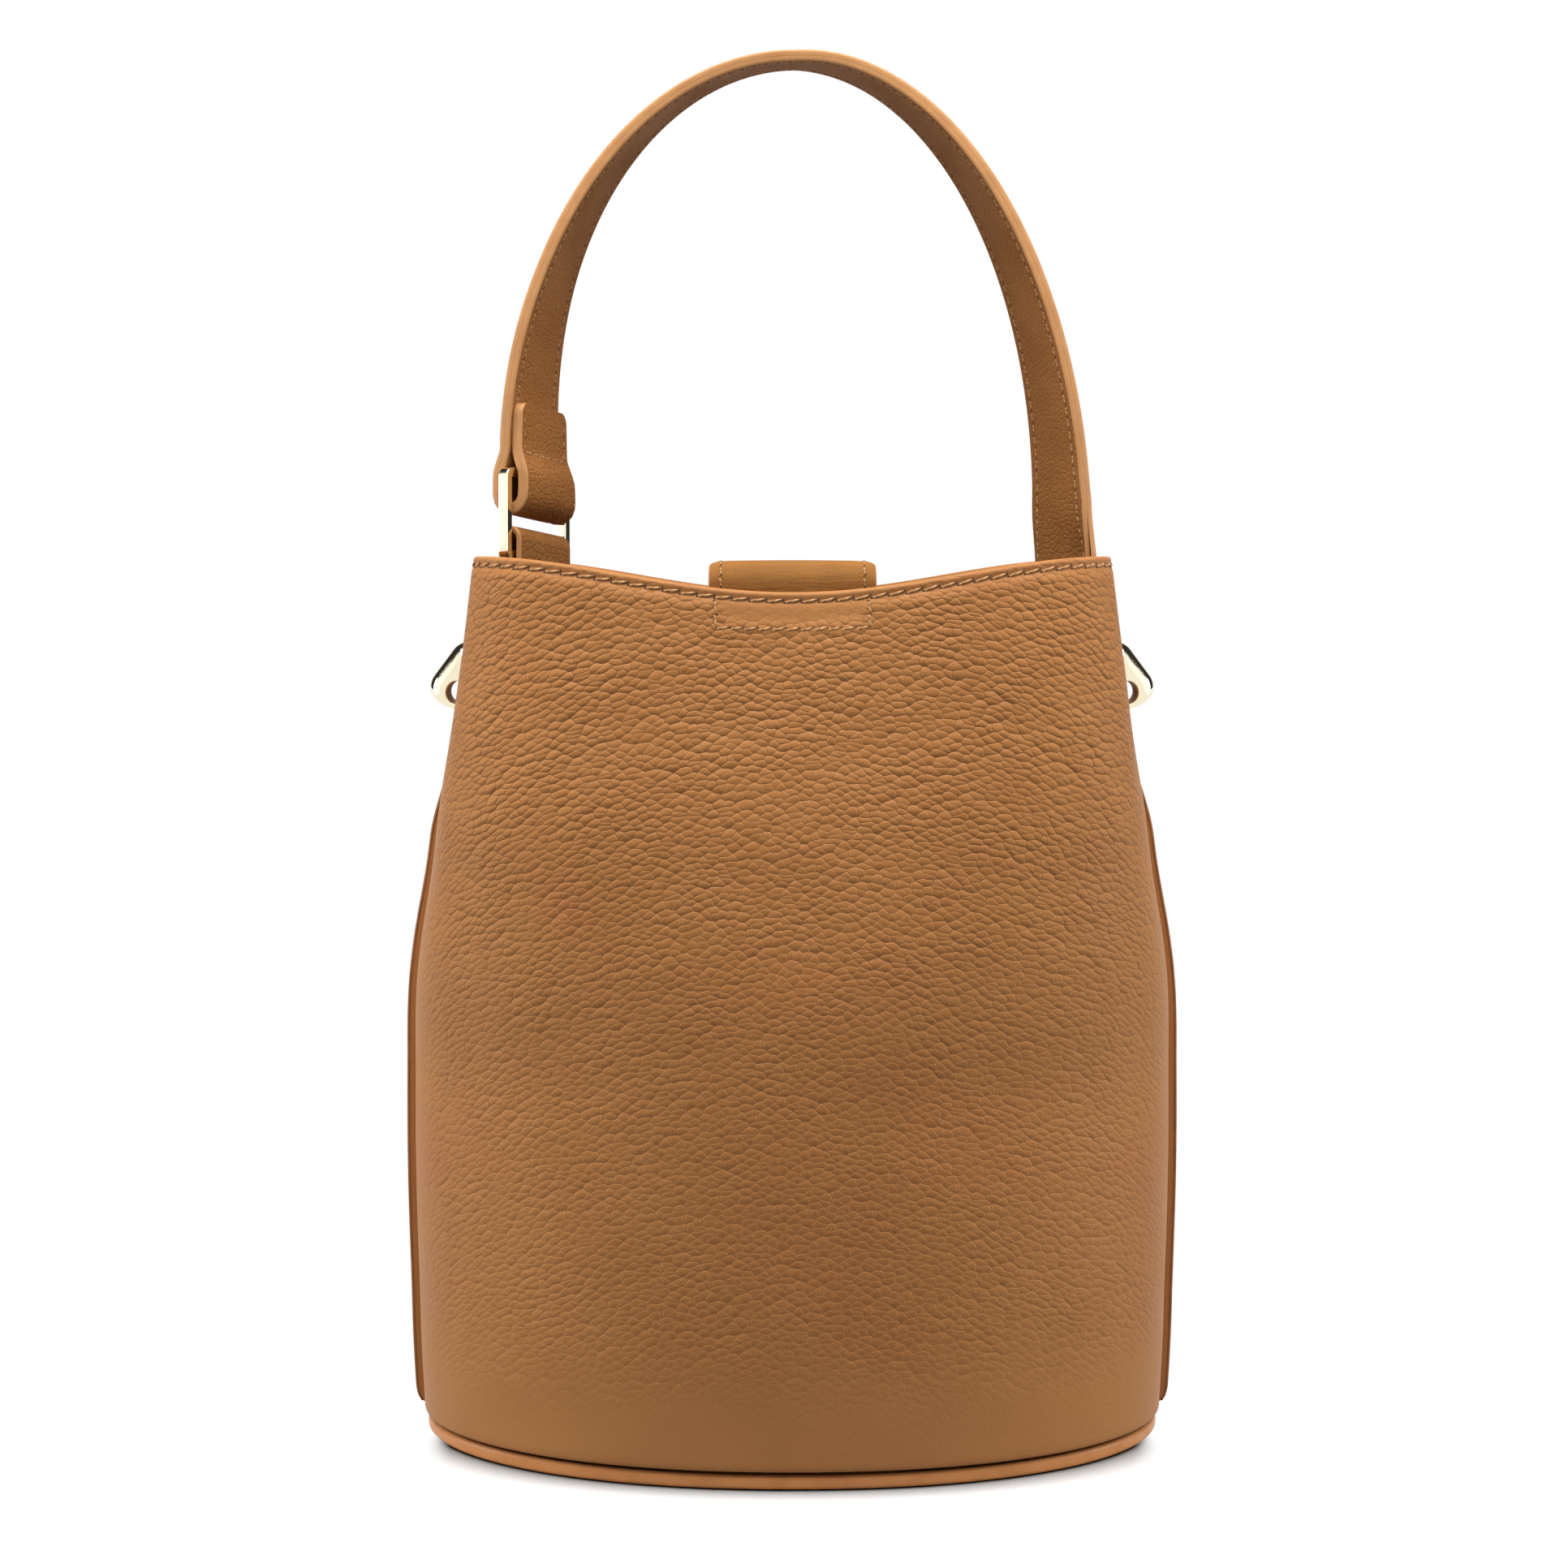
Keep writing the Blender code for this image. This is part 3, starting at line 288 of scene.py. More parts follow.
class Finish:
    """A node tree under construction, of a material or of the world."""

    def __init__(self, owner):
        owner.use_nodes = True
        self.owner = owner
        self.nodes = owner.node_tree.nodes
        self.links = owner.node_tree.links

    def node(self, kind, settings=None, inputs=None, output=0):
        """A new node: its settings are set first, then its inputs are given values or links."""
        made = self.nodes.new(kind)
        for name, value in (settings or {}).items():
            setattr(made, name, value)
        for name, value in (inputs or {}).items():
            self.feed(made.inputs[name], value)
        return Value(self, made.outputs[output])

    def feed(self, socket, value):
        if isinstance(value, Value):
            self.links.new(value.socket, socket)
        elif isinstance(value, tuple) and len(value) == 3 and len(socket.default_value) == 4:
            socket.default_value = (*value, 1.0)
        else:
            socket.default_value = value

    def shade(self, **inputs):
        """Feeds the material's Principled BSDF; underscores in the names stand for spaces."""
        shader = self.nodes["Principled BSDF"]
        for name, value in inputs.items():
            self.feed(shader.inputs[name.replace("_", " ")], value)

    def split(self, place):
        """The first two values of a vector."""
        first = self.node("ShaderNodeSeparateXYZ", None, {0: place})
        return first, Value(self, first.socket.node.outputs[1])

    def surface(self):
        """The piece's own UV place in metres, as its two values."""
        return self.split(self.node("ShaderNodeUVMap", {"uv_map": "surface"}))

    def own_place(self):
        """The place in the object's own space."""
        return self.node("ShaderNodeTexCoord", None, None, 3)

    def rays(self):
        """Whether a ray comes from the camera, from a shiny surface or through something clear."""
        camera = self.node("ShaderNodeLightPath")
        outputs = camera.socket.node.outputs
        return camera, Value(self, outputs["Is Glossy Ray"]), Value(self, outputs["Is Transmission Ray"])

    def vector(self, x, y, z=0.0):
        return self.node("ShaderNodeCombineXYZ", None, {0: x, 1: y, 2: z})

    def noise(self, place, scale, detail=2.0, roughness=0.5):
        inputs = {"Vector": place, "Scale": scale, "Detail": detail, "Roughness": roughness}
        return self.node("ShaderNodeTexNoise", {"noise_dimensions": "3D"}, inputs)

    def cells(self, place, randomness=1.0, feature="DISTANCE_TO_EDGE"):
        settings = {"feature": feature, "voronoi_dimensions": "2D"}
        inputs = {"Vector": place, "Scale": 1.0, "Randomness": randomness}
        return self.node("ShaderNodeTexVoronoi", settings, inputs)

    def between(self, value, low, high, start=0.0, end=1.0):
        """Start to end as the value goes smoothly from low to high."""
        inputs = {"Value": value, "From Min": low, "From Max": high, "To Min": start, "To Max": end}
        return self.node("ShaderNodeMapRange", {"interpolation_type": "SMOOTHSTEP"}, inputs)

    def mix(self, share, first, second):
        return self.node("ShaderNodeMix", {"data_type": "RGBA"}, {0: share, 6: first, 7: second}, 2)

    def bump(self, height, distance):
        inputs = {"Height": height, "Distance": distance, "Strength": 1.0}
        return self.node("ShaderNodeBump", None, inputs)


def new_finish(name):
    return Finish(bpy.data.materials.new(name))


def pebbled_leather():
    """The body's leather: level pebbles whose creases arch over the panel, calm at its edges, with painted
    shade in its creases and across its middle and painted highlights on the crease lips.
    """
    finish = new_finish("pebbled_leather")
    across, along = finish.surface()
    strength = finish.node("ShaderNodeAttribute", {"attribute_name": "grain"}, None, 2)
    flat = finish.vector(across, along)
    drift = finish.noise(flat, 32.0, 2.0) - 0.5
    waver = finish.noise(finish.vector(along, across, 0.3), 190.0, 2.0) - 0.5
    ripple = finish.noise(finish.vector(across, along, 0.6), 480.0, 1.0) - 0.5
    rows_per_metre = 440.0
    columns_per_metre = 265.0
    level = along + across * across * 2.0 + drift * 0.0045 + waver * 0.0010 + ripple * 0.0005
    level = level * rows_per_metre
    sideways = across - across ** 3 * 9.0 + drift * 0.003 + waver * 0.0022 + ripple * 0.0008
    sideways = sideways * columns_per_metre
    lattice = finish.vector(sideways + level, sideways - level)
    scatter = 0.78
    pebbles = finish.cells(lattice, scatter)
    middle = finish.cells(lattice, scatter, "F1")
    crumbs = finish.cells(finish.vector((sideways + level) * 2.0 + 0.4, (sideways - level) * 2.0))
    crease = finish.between(pebbles, 0.0, 0.12)
    dome = 1 - middle * middle
    crumb = finish.between(crumbs, 0.0, 0.12)
    rise = finish.between(along, 0.06, 0.20, 0.66, 1.16) * (across * across * 35.0 + 0.86)
    depth = finish.between(finish.noise(flat, 70.0, 2.0), 0.35, 0.65, 0.80, 1.10) * rise
    fibres = finish.noise(finish.vector(across + along * 0.5, along * 0.45), 1300.0, 3.0, 0.65)
    height = (crease * 0.10 + dome * 1.15) * depth + crumb * 0.03
    bump = finish.bump(height * strength + fibres * 0.20, 0.48 * MM)
    mottle = finish.noise(flat, 38.0, 3.0, 0.55)
    blush = finish.between(finish.noise(finish.vector(across, along, 0.7), 22.0, 2.0), 0.52, 0.72)
    colour = finish.mix(finish.between(mottle, 0.3, 0.7), TAN, TAN_PALE)
    colour = finish.mix(blush * 0.35, colour, TAN_RED)
    # Painted shade: darker across the middle of the panel at mid-height, where less light falls than near the
    # rim
    painted_middle_shade = finish.between(along, 0.195, 0.125) * finish.between(across * across, 0.0055, 0.0)
    colour = finish.mix(painted_middle_shade * 0.15, colour, TAN_PAINTED_SHADE)
    colour = finish.mix((1 - strength) * 0.18, colour, TAN_LIP)
    # Painted shade: the leather is darkened along the creases between the pebbles
    crease_shade = (1 - crease) * depth * strength
    colour = finish.mix(crease_shade * 0.22, colour, TAN_PAINTED_SHADE)
    # Painted highlight: thin pale lines along the lips of the creases
    lip_highlight = finish.between(pebbles, 0.02, 0.10) - finish.between(pebbles, 0.10, 0.20)
    colour = finish.mix(lip_highlight * strength * (0.52 - rise * 0.28), colour, TAN_LIP)
    finish.shade(
        Base_Color=colour,
        Roughness=finish.between(mottle, 0.2, 0.8, 0.44, 0.54) + crease_shade * 0.10,
        Specular_IOR_Level=0.14,
        Normal=bump,
    )
    return finish.owner


def strap_leather(name, colour, cell_width, cell_height, depth, pebbling=0.5, wrinkling=0.0):
    """Finer leather of the straps, the tab and the facing."""
    finish = new_finish(name)
    across, along = finish.surface()
    flat = finish.vector(across, along)
    drift = finish.noise(flat, 140.0, 2.0) - 0.5
    place = finish.vector((across + drift * 0.003) / cell_width, (along + drift * 0.003) / cell_height)
    pebble = finish.between(finish.cells(place), 0.0, 0.25)
    pores = finish.noise(flat, 2600.0, 3.0, 0.6)
    wrinkles = finish.noise(finish.vector(across * 0.16, along, 0.2), 900.0, 2.0)
    streaks = finish.noise(finish.vector(across, along * 0.12, 0.5), 1500.0, 3.0, 0.6)
    height = pebble * pebbling + pores * 0.35 + streaks * 0.5 + wrinkles * wrinkling
    mottle = finish.noise(flat, 60.0, 3.0)
    tone = finish.mix(finish.between(mottle, 0.3, 0.7), colour, tuple(part * 0.86 for part in colour))
    # Painted shade: darker along the creases between the pebbles
    tone = finish.mix((1 - pebble) * 0.30 * pebbling, tone, TAN_PAINTED_SHADE)
    finish.shade(
        Base_Color=tone,
        Roughness=finish.between(mottle, 0.2, 0.8, 0.58, 0.68),
        Specular_IOR_Level=0.06,
        Normal=finish.bump(height, depth),
    )
    return finish.owner


def edge_paint(name, colour, dark):
    """Painted leather edges: smooth, a little uneven in tone."""
    finish = new_finish(name)
    place = finish.own_place()
    tone = finish.noise(place, 120.0, 3.0, 0.6)
    fine = finish.noise(place, 1500.0, 2.0)
    finish.shade(
        Base_Color=finish.mix(finish.between(tone, 0.3, 0.75), colour, dark),
        Roughness=finish.between(tone, 0.2, 0.8, 0.34, 0.46),
        Specular_IOR_Level=0.25,
        Normal=finish.bump(fine, 0.02 * MM),
    )
    return finish.owner


def sewing_thread():
    """Twisted thread: ridges wind round each stitch, with painted shade in the grooves between them."""
    finish = new_finish("sewing_thread")
    around, along = finish.surface()
    turn = finish.node("ShaderNodeMath", {"operation": "SINE"}, {0: (around * 2 + along * 5) * math.pi})
    # Painted shade: the thread is darker in the grooves between the ridges
    ridge = finish.between(turn, -0.9, 0.6)
    finish.shade(
        Base_Color=finish.mix(ridge, THREAD_GROOVE_SHADE, THREAD),
        Roughness=finish.between(ridge, 0.0, 1.0, 0.65, 0.5),
        Normal=finish.bump(ridge, 0.15 * MM),
    )
    return finish.owner


def plain_finish(name, colour, dark, roughness, scale):
    """A dull finish with a slight change of tone."""
    finish = new_finish(name)
    place = finish.own_place()
    tone = finish.noise(place, scale, 3.0)
    finish.shade(
        Base_Color=finish.mix(finish.between(tone, 0.3, 0.7), colour, dark),
        Roughness=finish.between(tone, 0.2, 0.8, roughness, roughness + 0.1),
        Normal=finish.bump(tone, 0.1 * MM),
    )
    return finish.owner


def gold_plate(name, colour, shade, roughness):
    """Pale gold plate with faint handling marks."""
    finish = new_finish(name)
    place = finish.own_place()
    cloud = finish.noise(place, 160.0, 3.0)
    stretched = finish.node("ShaderNodeMapping", None, {0: place, 3: (1.0, 1.0, 0.08)})
    brushed = finish.noise(stretched, 2200.0, 2.0)
    finish.shade(
        Base_Color=finish.mix(finish.between(cloud, 0.35, 0.7), colour, shade),
        Metallic=1.0,
        Roughness=finish.between(cloud, 0.2, 0.8, roughness, roughness * 1.8),
        Normal=finish.bump(brushed, 0.004 * MM),
    )
    return finish.owner


def lining_suede():
    """Brushed lining cloth with a soft nap."""
    finish = new_finish("lining_suede")
    across, along = finish.surface()
    flat = finish.vector(across, along)
    brushed = finish.noise(finish.vector(across, along * 0.35), 120.0, 4.0, 0.6)
    fibre = finish.noise(flat, 3200.0, 3.0, 0.7)
    finish.shade(
        Base_Color=finish.mix(finish.between(brushed, 0.35, 0.7), SUEDE, SUEDE_DARK),
        Roughness=finish.between(fibre, 0.2, 0.8, 0.85, 0.97),
        Sheen_Weight=0.35,
        Sheen_Roughness=0.4,
        Normal=finish.bump(fibre, 0.12 * MM),
    )
    return finish.owner


body_leather = pebbled_leather()
handle_leather = strap_leather("handle_leather", HANDLE_TAN, 2.1 * MM, 1.5 * MM, 0.22 * MM)
tab_leather = strap_leather(
    "tab_leather", TAB_TAN, 1.3 * MM, 0.8 * MM, 0.12 * MM, pebbling=0.12, wrinkling=1.6
)
facing_leather = strap_leather("facing_leather", TAN, 1.6 * MM, 1.1 * MM, 0.08 * MM)
painted_edge = edge_paint("painted_edge", EDGE_PAINT, EDGE_PAINT_DARK)
seam_paint = edge_paint("seam_paint", SEAM_PAINT, SEAM_PAINT_DARK)
base_paint = edge_paint("base_paint", BASE_PAINT, BASE_PAINT_DARK)
thread = sewing_thread()
# Painted shade that stands in for the needle holes
needle_hole_shade = plain_finish("needle_hole_shade", HOLE_SHADE, HOLE_SHADE_DEEP, 0.8, 900.0)
gold = gold_plate("polished_gold", GOLD, GOLD_DEEP, 0.06)
# Rougher cast gold for the lug's eye, its dark colour painted shade
shaded_cast_gold = gold_plate("shaded_cast_gold", BORE_SHADE_GOLD, BORE_SHADE_GOLD_DEEP, 0.4)
suede = lining_suede()
board_finish = plain_finish("stiff_board", BOARD, BOARD_DARK, 0.85, 400.0)
magnet_finish = plain_finish("magnet", MAGNET, MAGNET_DARK, 0.4, 500.0)


# Working with arrays


def smooth_step(share):
    share = np.clip(share, 0.0, 1.0)
    return share * share * (3 - 2 * share)


def nearest(shares, count):
    """The index of each share's place among evenly spread places."""
    return np.rint(shares * (count - 1)).astype(int)


def running_lengths(points):
    return np.append(0.0, np.cumsum(np.linalg.norm(np.diff(points, axis=0), axis=1)))


def resample(wanted, run, table):
    """The table's columns, read at the wanted running lengths."""
    return np.column_stack([np.interp(wanted, run, column) for column in table.T])


def arc(start, end, count):
    """Cosines and sines of evenly spread angles in degrees."""
    turns = np.radians(np.linspace(start, end, count))
    return list(zip(np.cos(turns), np.sin(turns)))


# Body shape, the same as that of its solids


def at_station(height, values):
    """The smooth curve through the values at the stations, level where the values turn back."""
    rises = np.diff(values) / np.diff(STATIONS)
    products = np.maximum(rises[:-1] * rises[1:], 0.0)
    slopes = np.concatenate([rises[:1], 2 * products / (rises[:-1] + rises[1:]), rises[-1:]])
    index = int(np.clip(np.searchsorted(STATIONS, height) - 1, 0, len(STATIONS) - 2))
    span = STATIONS[index + 1] - STATIONS[index]
    share = (height - STATIONS[index]) / span
    start = values[index] + share * slopes[index] * span
    end = values[index + 1] - (1 - share) * slopes[index + 1] * span
    ease = share * share * (3 - 2 * share)
    return start * (1 - ease) + end * ease


@functools.lru_cache(maxsize=None)
def section(height):
    """A quarter of the horizontal section, seam to middle: points, outward directions and running lengths."""
    length = at_station(height, HALF_LENGTHS)
    depth = at_station(height, HALF_DEPTHS)
    ease = smooth_step((height / BODY_HEIGHT - 0.4) / 0.6)
    power = FOOT_SQUARENESS + (MOUTH_SQUARENESS - FOOT_SQUARENESS) * ease
    side_y = np.linspace(0.0, 0.8 * depth, SIDE_POINTS)
    side_x = length * (1 - (side_y / depth) ** power) ** (1 / power)
    pinch = PINCH_DEPTH * smooth_step((height - BODY_HEIGHT + PINCH_LENGTH) / PINCH_LENGTH)
    side_x = side_x - pinch * np.cos(np.pi / 2 * np.minimum(side_y / PINCH_HALF_WIDTH, 1.0)) ** 2
    front_x = np.linspace(side_x[-1], 0.0, 160)[1:]
    front_y = depth * (1 - (front_x / length) ** power) ** (1 / power)
    points = np.column_stack([np.append(side_x, front_x), np.append(side_y, front_y)])
    travel = np.gradient(points, axis=0)
    travel /= np.linalg.norm(travel, axis=1)[:, None]
    outward = np.column_stack([travel[:, 1], -travel[:, 0]])
    return points, outward, running_lengths(points)


def seat_x(y, height, inset):
    """The half length of the section where it crosses y, near a side seam."""
    points, outward, _ = section(height)
    inside = (points - inset * outward)[:SIDE_POINTS]
    return np.interp(y, inside[:, 1], inside[:, 0])


def seat_y(height, inset):
    """The half depth of the section in the middle of the front or back."""
    return section(height)[0][-1, 1] - inset


def rim_height(x):
    """The dipping rim of the mouth."""
    share = np.minimum(np.abs(x) / MOUTH_HALF_LENGTH, 1.0)
    return BODY_HEIGHT - RIM_DIP * (1 + np.cos(np.pi * share)) / 2


def flange_at(height):
    """How far the seam flange stands out: rounded off above the base and tapered out below the pinch."""
    low = np.sqrt(np.maximum(0.0, 1 - np.maximum(0.0, 1 - (height - WALL_FOOT) / FLANGE_ROUNDING) ** 2))
    high = 1 - smooth_step((height - BODY_HEIGHT + PINCH_LENGTH + FLANGE_TAPER / 2) / FLANGE_TAPER)
    return FLANGE_LIP + (FLANGE - FLANGE_LIP) * low * high


class Wall:
    """The body's surface, read by a share of the way round its front half and a height."""

    LEVELS = 200
    SHARES = 260

    def __init__(self, start):
        self.heights = np.linspace(WALL_FOOT, BODY_HEIGHT, self.LEVELS)
        shares = np.linspace(0.0, 1.0, self.SHARES)
        rows = []
        lengths = []
        for height in self.heights:
            points, outward, run = section(height)
            first = np.interp(start, points[:SIDE_POINTS, 1], run[:SIDE_POINTS])
            wanted = first + (run[-1] - first) * shares
            rows.append(resample(wanted, run, np.column_stack([points, outward])))
            lengths.append(run[-1] - first)
        self.table = np.array(rows)
        self.lengths = np.array(lengths)

    def read(self, across, height):
        """Place and outward direction on the quarter, with the side that it lies on."""
        side = np.where(across <= 0.5, 1.0, -1.0)
        share = np.clip(1 - np.abs(2 * across - 1), 0.0, 1.0) * (self.SHARES - 1)
        spread = (height - self.heights[0]) / (self.heights[-1] - self.heights[0])
        level = np.clip(spread, 0.0, 1.0) * (self.LEVELS - 1)
        column = np.minimum(share.astype(int), self.SHARES - 2)
        row = np.minimum(level.astype(int), self.LEVELS - 2)
        right = (share - column)[:, None]
        up = (level - row)[:, None]
        low = self.table[row, column] * (1 - right) + self.table[row, column + 1] * right
        high = self.table[row + 1, column] * (1 - right) + self.table[row + 1, column + 1] * right
        return low * (1 - up) + high * up, side

    def at(self, across, height, out=0.0):
        """Points of the front half, from the right seam at 0 to the left seam at 1."""
        found, side = self.read(across, height)
        x = side * (found[:, 0] + out * found[:, 2])
        return np.column_stack([x, found[:, 1] + out * found[:, 3], height])

    def outward(self, across, height):
        found, side = self.read(across, height)
        return np.column_stack([side * found[:, 2], found[:, 3], np.zeros(len(found))])

    def top_x(self, across):
        return self.at(across, np.full(len(across), BODY_HEIGHT))[:, 0]

    def half_length(self, height):
        """The length round from a seam to the middle."""
        return np.interp(height, self.heights, self.lengths)


panel_wall = Wall(SEAM)
layer_wall = Wall(0.0)
HALF_TURN = np.array([-1.0, -1.0, 1.0])


# Making meshes


def skin(place, columns, rows, closed=False, column_bands=None, row_bands=None):
    """A mesh grown from a flat grid: place gives each point, its UV in metres and its grain."""
    body = bmesh.new()
    bmesh.ops.create_grid(body, x_segments=columns, y_segments=rows, size=0.5)
    body.verts.index_update()
    flat = np.array([vertex.co[:2] for vertex in body.verts]) + 0.5
    points, surface, grain = place(flat[:, 0], flat[:, 1])
    grain = np.broadcast_to(grain, len(flat))
    layer = body.loops.layers.uv.new("surface")
    grain_layer = body.verts.layers.float.new("grain")
    bands = column_bands if column_bands is not None else row_bands
    axis = 0 if column_bands is not None else 1
    for face in body.faces:
        corners = [vertex.index for vertex in face.verts]
        if bands is not None:
            middle = flat[corners, axis].mean()
            face.material_index = int(bands[int(middle * len(bands))])
        for loop in face.loops:
            loop[layer].uv = surface[loop.vert.index]
    for vertex in body.verts:
        vertex.co = points[vertex.index]
        vertex[grain_layer] = grain[vertex.index]
    if closed:
        bmesh.ops.remove_doubles(body, verts=body.verts, dist=MERGE_DISTANCE)
    return body


def close_ends(body, band):
    """Caps the open ends of a tube."""
    rims = [edge for edge in body.edges if edge.is_boundary]
    made = bmesh.ops.holes_fill(body, edges=rims, sides=0)
    for face in made["faces"]:
        face.material_index = band


def face_outwards(body):
    bmesh.ops.recalc_face_normals(body, faces=body.faces)


def joined(bodies):
    """One bmesh holding several."""
    whole = bodies[0]
    for other in bodies[1:]:
        mesh = bpy.data.meshes.new("part")
        other.to_mesh(mesh)
        other.free()
        whole.from_mesh(mesh)
        bpy.data.meshes.remove(mesh)
    return whole


def piece(name, body, finishes, sharp=None):
    """A finished object of the bag."""
    mesh = bpy.data.meshes.new(name)
    body.to_mesh(mesh)
    body.free()
    mesh.shade_smooth()
    if sharp:
        mesh.set_sharp_from_angle(angle=math.radians(sharp))
    for finish in finishes:
        mesh.materials.append(finish)
    made = bpy.data.objects.new(name, mesh)
    bpy.context.scene.collection.objects.link(made)
    return made


def stand_in(made, node, body_name):
    """Puts a piece in a node's place, on a body."""
    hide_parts(node)
    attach(made, body_name)


def thicken(made, thickness):
    """Grows a skin inwards."""
    solidify = made.modifiers.new("thickness", "SOLIDIFY")
    solidify.thickness = thickness
    solidify.offset = -1.0
    return made


def waves(points, size, seed):
    """Smooth random heights, about -1 to 1, at the points."""
    shift = Vector((seed * 3.7, seed * 1.3, seed * 2.9))
    return np.array([noise.noise(Vector(point) / size + shift) for point in points])


# Panels of the wall


def panel_profile():
    """Rows of a panel as (out, share of the wall, lift): turned under at its foot, rolled in at its rim."""
    rows = []
    for across, up in arc(-90, 0, 5)[:-1]:
        rows.append((FOOT_ROLL * (across - 1), 0.0, FOOT_ROLL * (1 + up)))
    for share in np.concatenate([np.linspace(0.0, 0.95, 150), np.linspace(0.95, 1.0, 20)[1:]]):
        rows.append((0.0, share, FOOT_ROLL * (1 - share) - RIM_ROLL * share))
    for across, up in arc(0, 180, 10)[1:]:
        rows.append((RIM_ROLL * (across - 1), 1.0, RIM_ROLL * (up - 1)))
    for drop in (1.0 * MM, 2.2 * MM):
        rows.append((-2 * RIM_ROLL, 1.0, -RIM_ROLL - drop))
    return np.array(rows)


def panel_columns():
    """Columns of a panel as (share across, reach of the flange), closest together at the seams."""
    even = np.linspace(0.0, 1.0, 216)
    across = even - 0.6 * np.sin(2 * np.pi * even) / (2 * np.pi)
    reach = np.array([1.0, 0.8, 0.55, 0.3, 0.12])
    columns = [(0.0, share) for share in reach]
    columns += [(share, 0.0) for share in across]
    columns += [(1.0, share) for share in reach[::-1]]
    return np.array(columns)


def fade(distance, start, span, least):
    """From least to 1 over a span beyond the start."""
    return least + (1 - least) * smooth_step((distance - start) / span)


def build_panel(name, node, turn, seed):
    """A leather panel with its flanges: turn is 1 for the front and -1 for the back."""
    profile = panel_profile()
    columns = panel_columns()

    def place(a, b):
        across, reach = columns[nearest(a, len(columns))].T
        out, share, lift = profile[nearest(b, len(profile))].T
        rim = rim_height(panel_wall.top_x(across))
        height = WALL_FOOT + share * (rim - WALL_FOOT) + lift
        from_seam = panel_wall.half_length(height) * (1 - np.abs(2 * across - 1))
        below_rim = rim - height
        wall = panel_wall.at(across, height)
        calm = 1.0
        for distance in (from_seam, below_rim, height):
            calm = calm * smooth_step(distance / CALM_REACH)
        swell = 0.0
        for index, (size, swell_height) in enumerate(SWELLS):
            swell = swell + waves(wall, size, seed + index) * swell_height
        seam_line = np.exp(-(((below_rim - RIM_STITCH_DROP) / RIM_DIP_WIDTH) ** 2))
        dent = np.where(out < 0, 0.0, swell * calm - RIM_DIP_DEPTH * seam_line)
        points = panel_wall.at(across, height, out + dent)
        side = np.where(across <= 0.5, 1.0, -1.0)
        points[:, 0] += side * reach * flange_at(height)
        round_way = (across - 0.5) * 2 * panel_wall.half_length(height) - side * reach * FLANGE
        surface = np.column_stack([round_way, height - out])
        sides = fade(from_seam, 6.0 * MM, 26.0 * MM, 0.12)
        foot = fade(height, 10.0 * MM, 34.0 * MM, 0.08)
        band = fade(below_rim, 2.4 * MM, BOX_FADE, 0.3)
        inside_box = smooth_step((BOX_HALF_WIDTH - np.abs(wall[:, 0])) / BOX_FADE)
        inside_box *= smooth_step((RIM_STITCH_DROP + BOX_HEIGHT - below_rim) / BOX_FADE)
        grain = sides * foot * band * (1 - 0.8 * inside_box * (turn < 0))
        if turn < 0:
            points = points * HALF_TURN
        return points, surface, grain

    body = skin(place, len(columns) - 1, len(profile) - 1)
    face_outwards(body)
    middle = min(body.faces, key=lambda face: abs(face.calc_center_median().x))
    if middle.normal.y * turn < 0:
        bmesh.ops.reverse_faces(body, faces=body.faces)
    made = thicken(piece(name, body, [body_leather], 50), PANEL_PLY)
    stand_in(made, node, "bag")


def build_seam_edge(name, side):
    """The painted edge of the two flanges, from the base to the mouth."""
    close_below = 20.0 * MM
    low = np.linspace(WALL_FOOT + 0.4 * MM, close_below, 14)
    heights = np.append(low, np.linspace(close_below, BODY_HEIGHT - 1.2 * MM, 90)[1:])
    spread = np.array([-1.0, -0.97, -0.8, -0.45, -0.08, 0.0, 0.08, 0.45, 0.8, 0.97, 1.0])
    dome = np.array([-0.5, 0.0, 0.24, 0.34, 0.26, 0.16, 0.26, 0.34, 0.24, 0.0, -0.5]) * MM

    def place(a, b):
        column = nearest(a, len(spread))
        height = heights[nearest(b, len(heights))]
        seam = panel_wall.at(np.zeros(len(a)), height)[:, 0]
        x = seam + flange_at(height) + dome[column]
        y = spread[column] * (SEAM + 0.05 * MM)
        return np.column_stack([side * x, y, height]), np.column_stack([y, height]), 1.0

    body = skin(place, len(spread) - 1, len(heights) - 1)
    face_outwards(body)
    tallest = max(body.faces, key=lambda face: side * face.calc_center_median().x)
    if tallest.normal.x * side < 0:
        bmesh.ops.reverse_faces(body, faces=body.faces)
    made = thicken(piece(name, body, [seam_paint]), 0.3 * MM)
    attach(made, "bag")


def halves(a):
    """The share across each point's own half of the wall, and whether that half is the front."""
    front = a < 0.5
    return np.where(front, 2 * a, 2 * a - 1), front[:, None]


def round_wall(across, front, height, out):
    """Points of the whole wall, moved out."""
    points = layer_wall.at(across, height, out)
    return np.where(front, points, points * HALF_TURN)


def build_ring_layer(name, node, profile, finish):
    """A layer all round the inside, from rows of (inset, foot, lift, share of the way to the rim)."""
    rows = np.array(profile)

    def place(a, b):
        across, front = halves(a)
        inset, foot, lift, to_rim = rows[nearest(b, len(rows))].T
        rim = rim_height(layer_wall.top_x(across))
        height = foot + to_rim * (rim - foot) + lift
        points = round_wall(across, front, height, -inset)
        round_way = (across - 0.5) * 2 * layer_wall.half_length(height)
        return points, np.column_stack([round_way, height + inset]), 1.0

    body = skin(place, 240, len(rows) - 1, closed=True)
    face_outwards(body)
    stand_in(piece(name, body, [finish], 60), node, "bag")


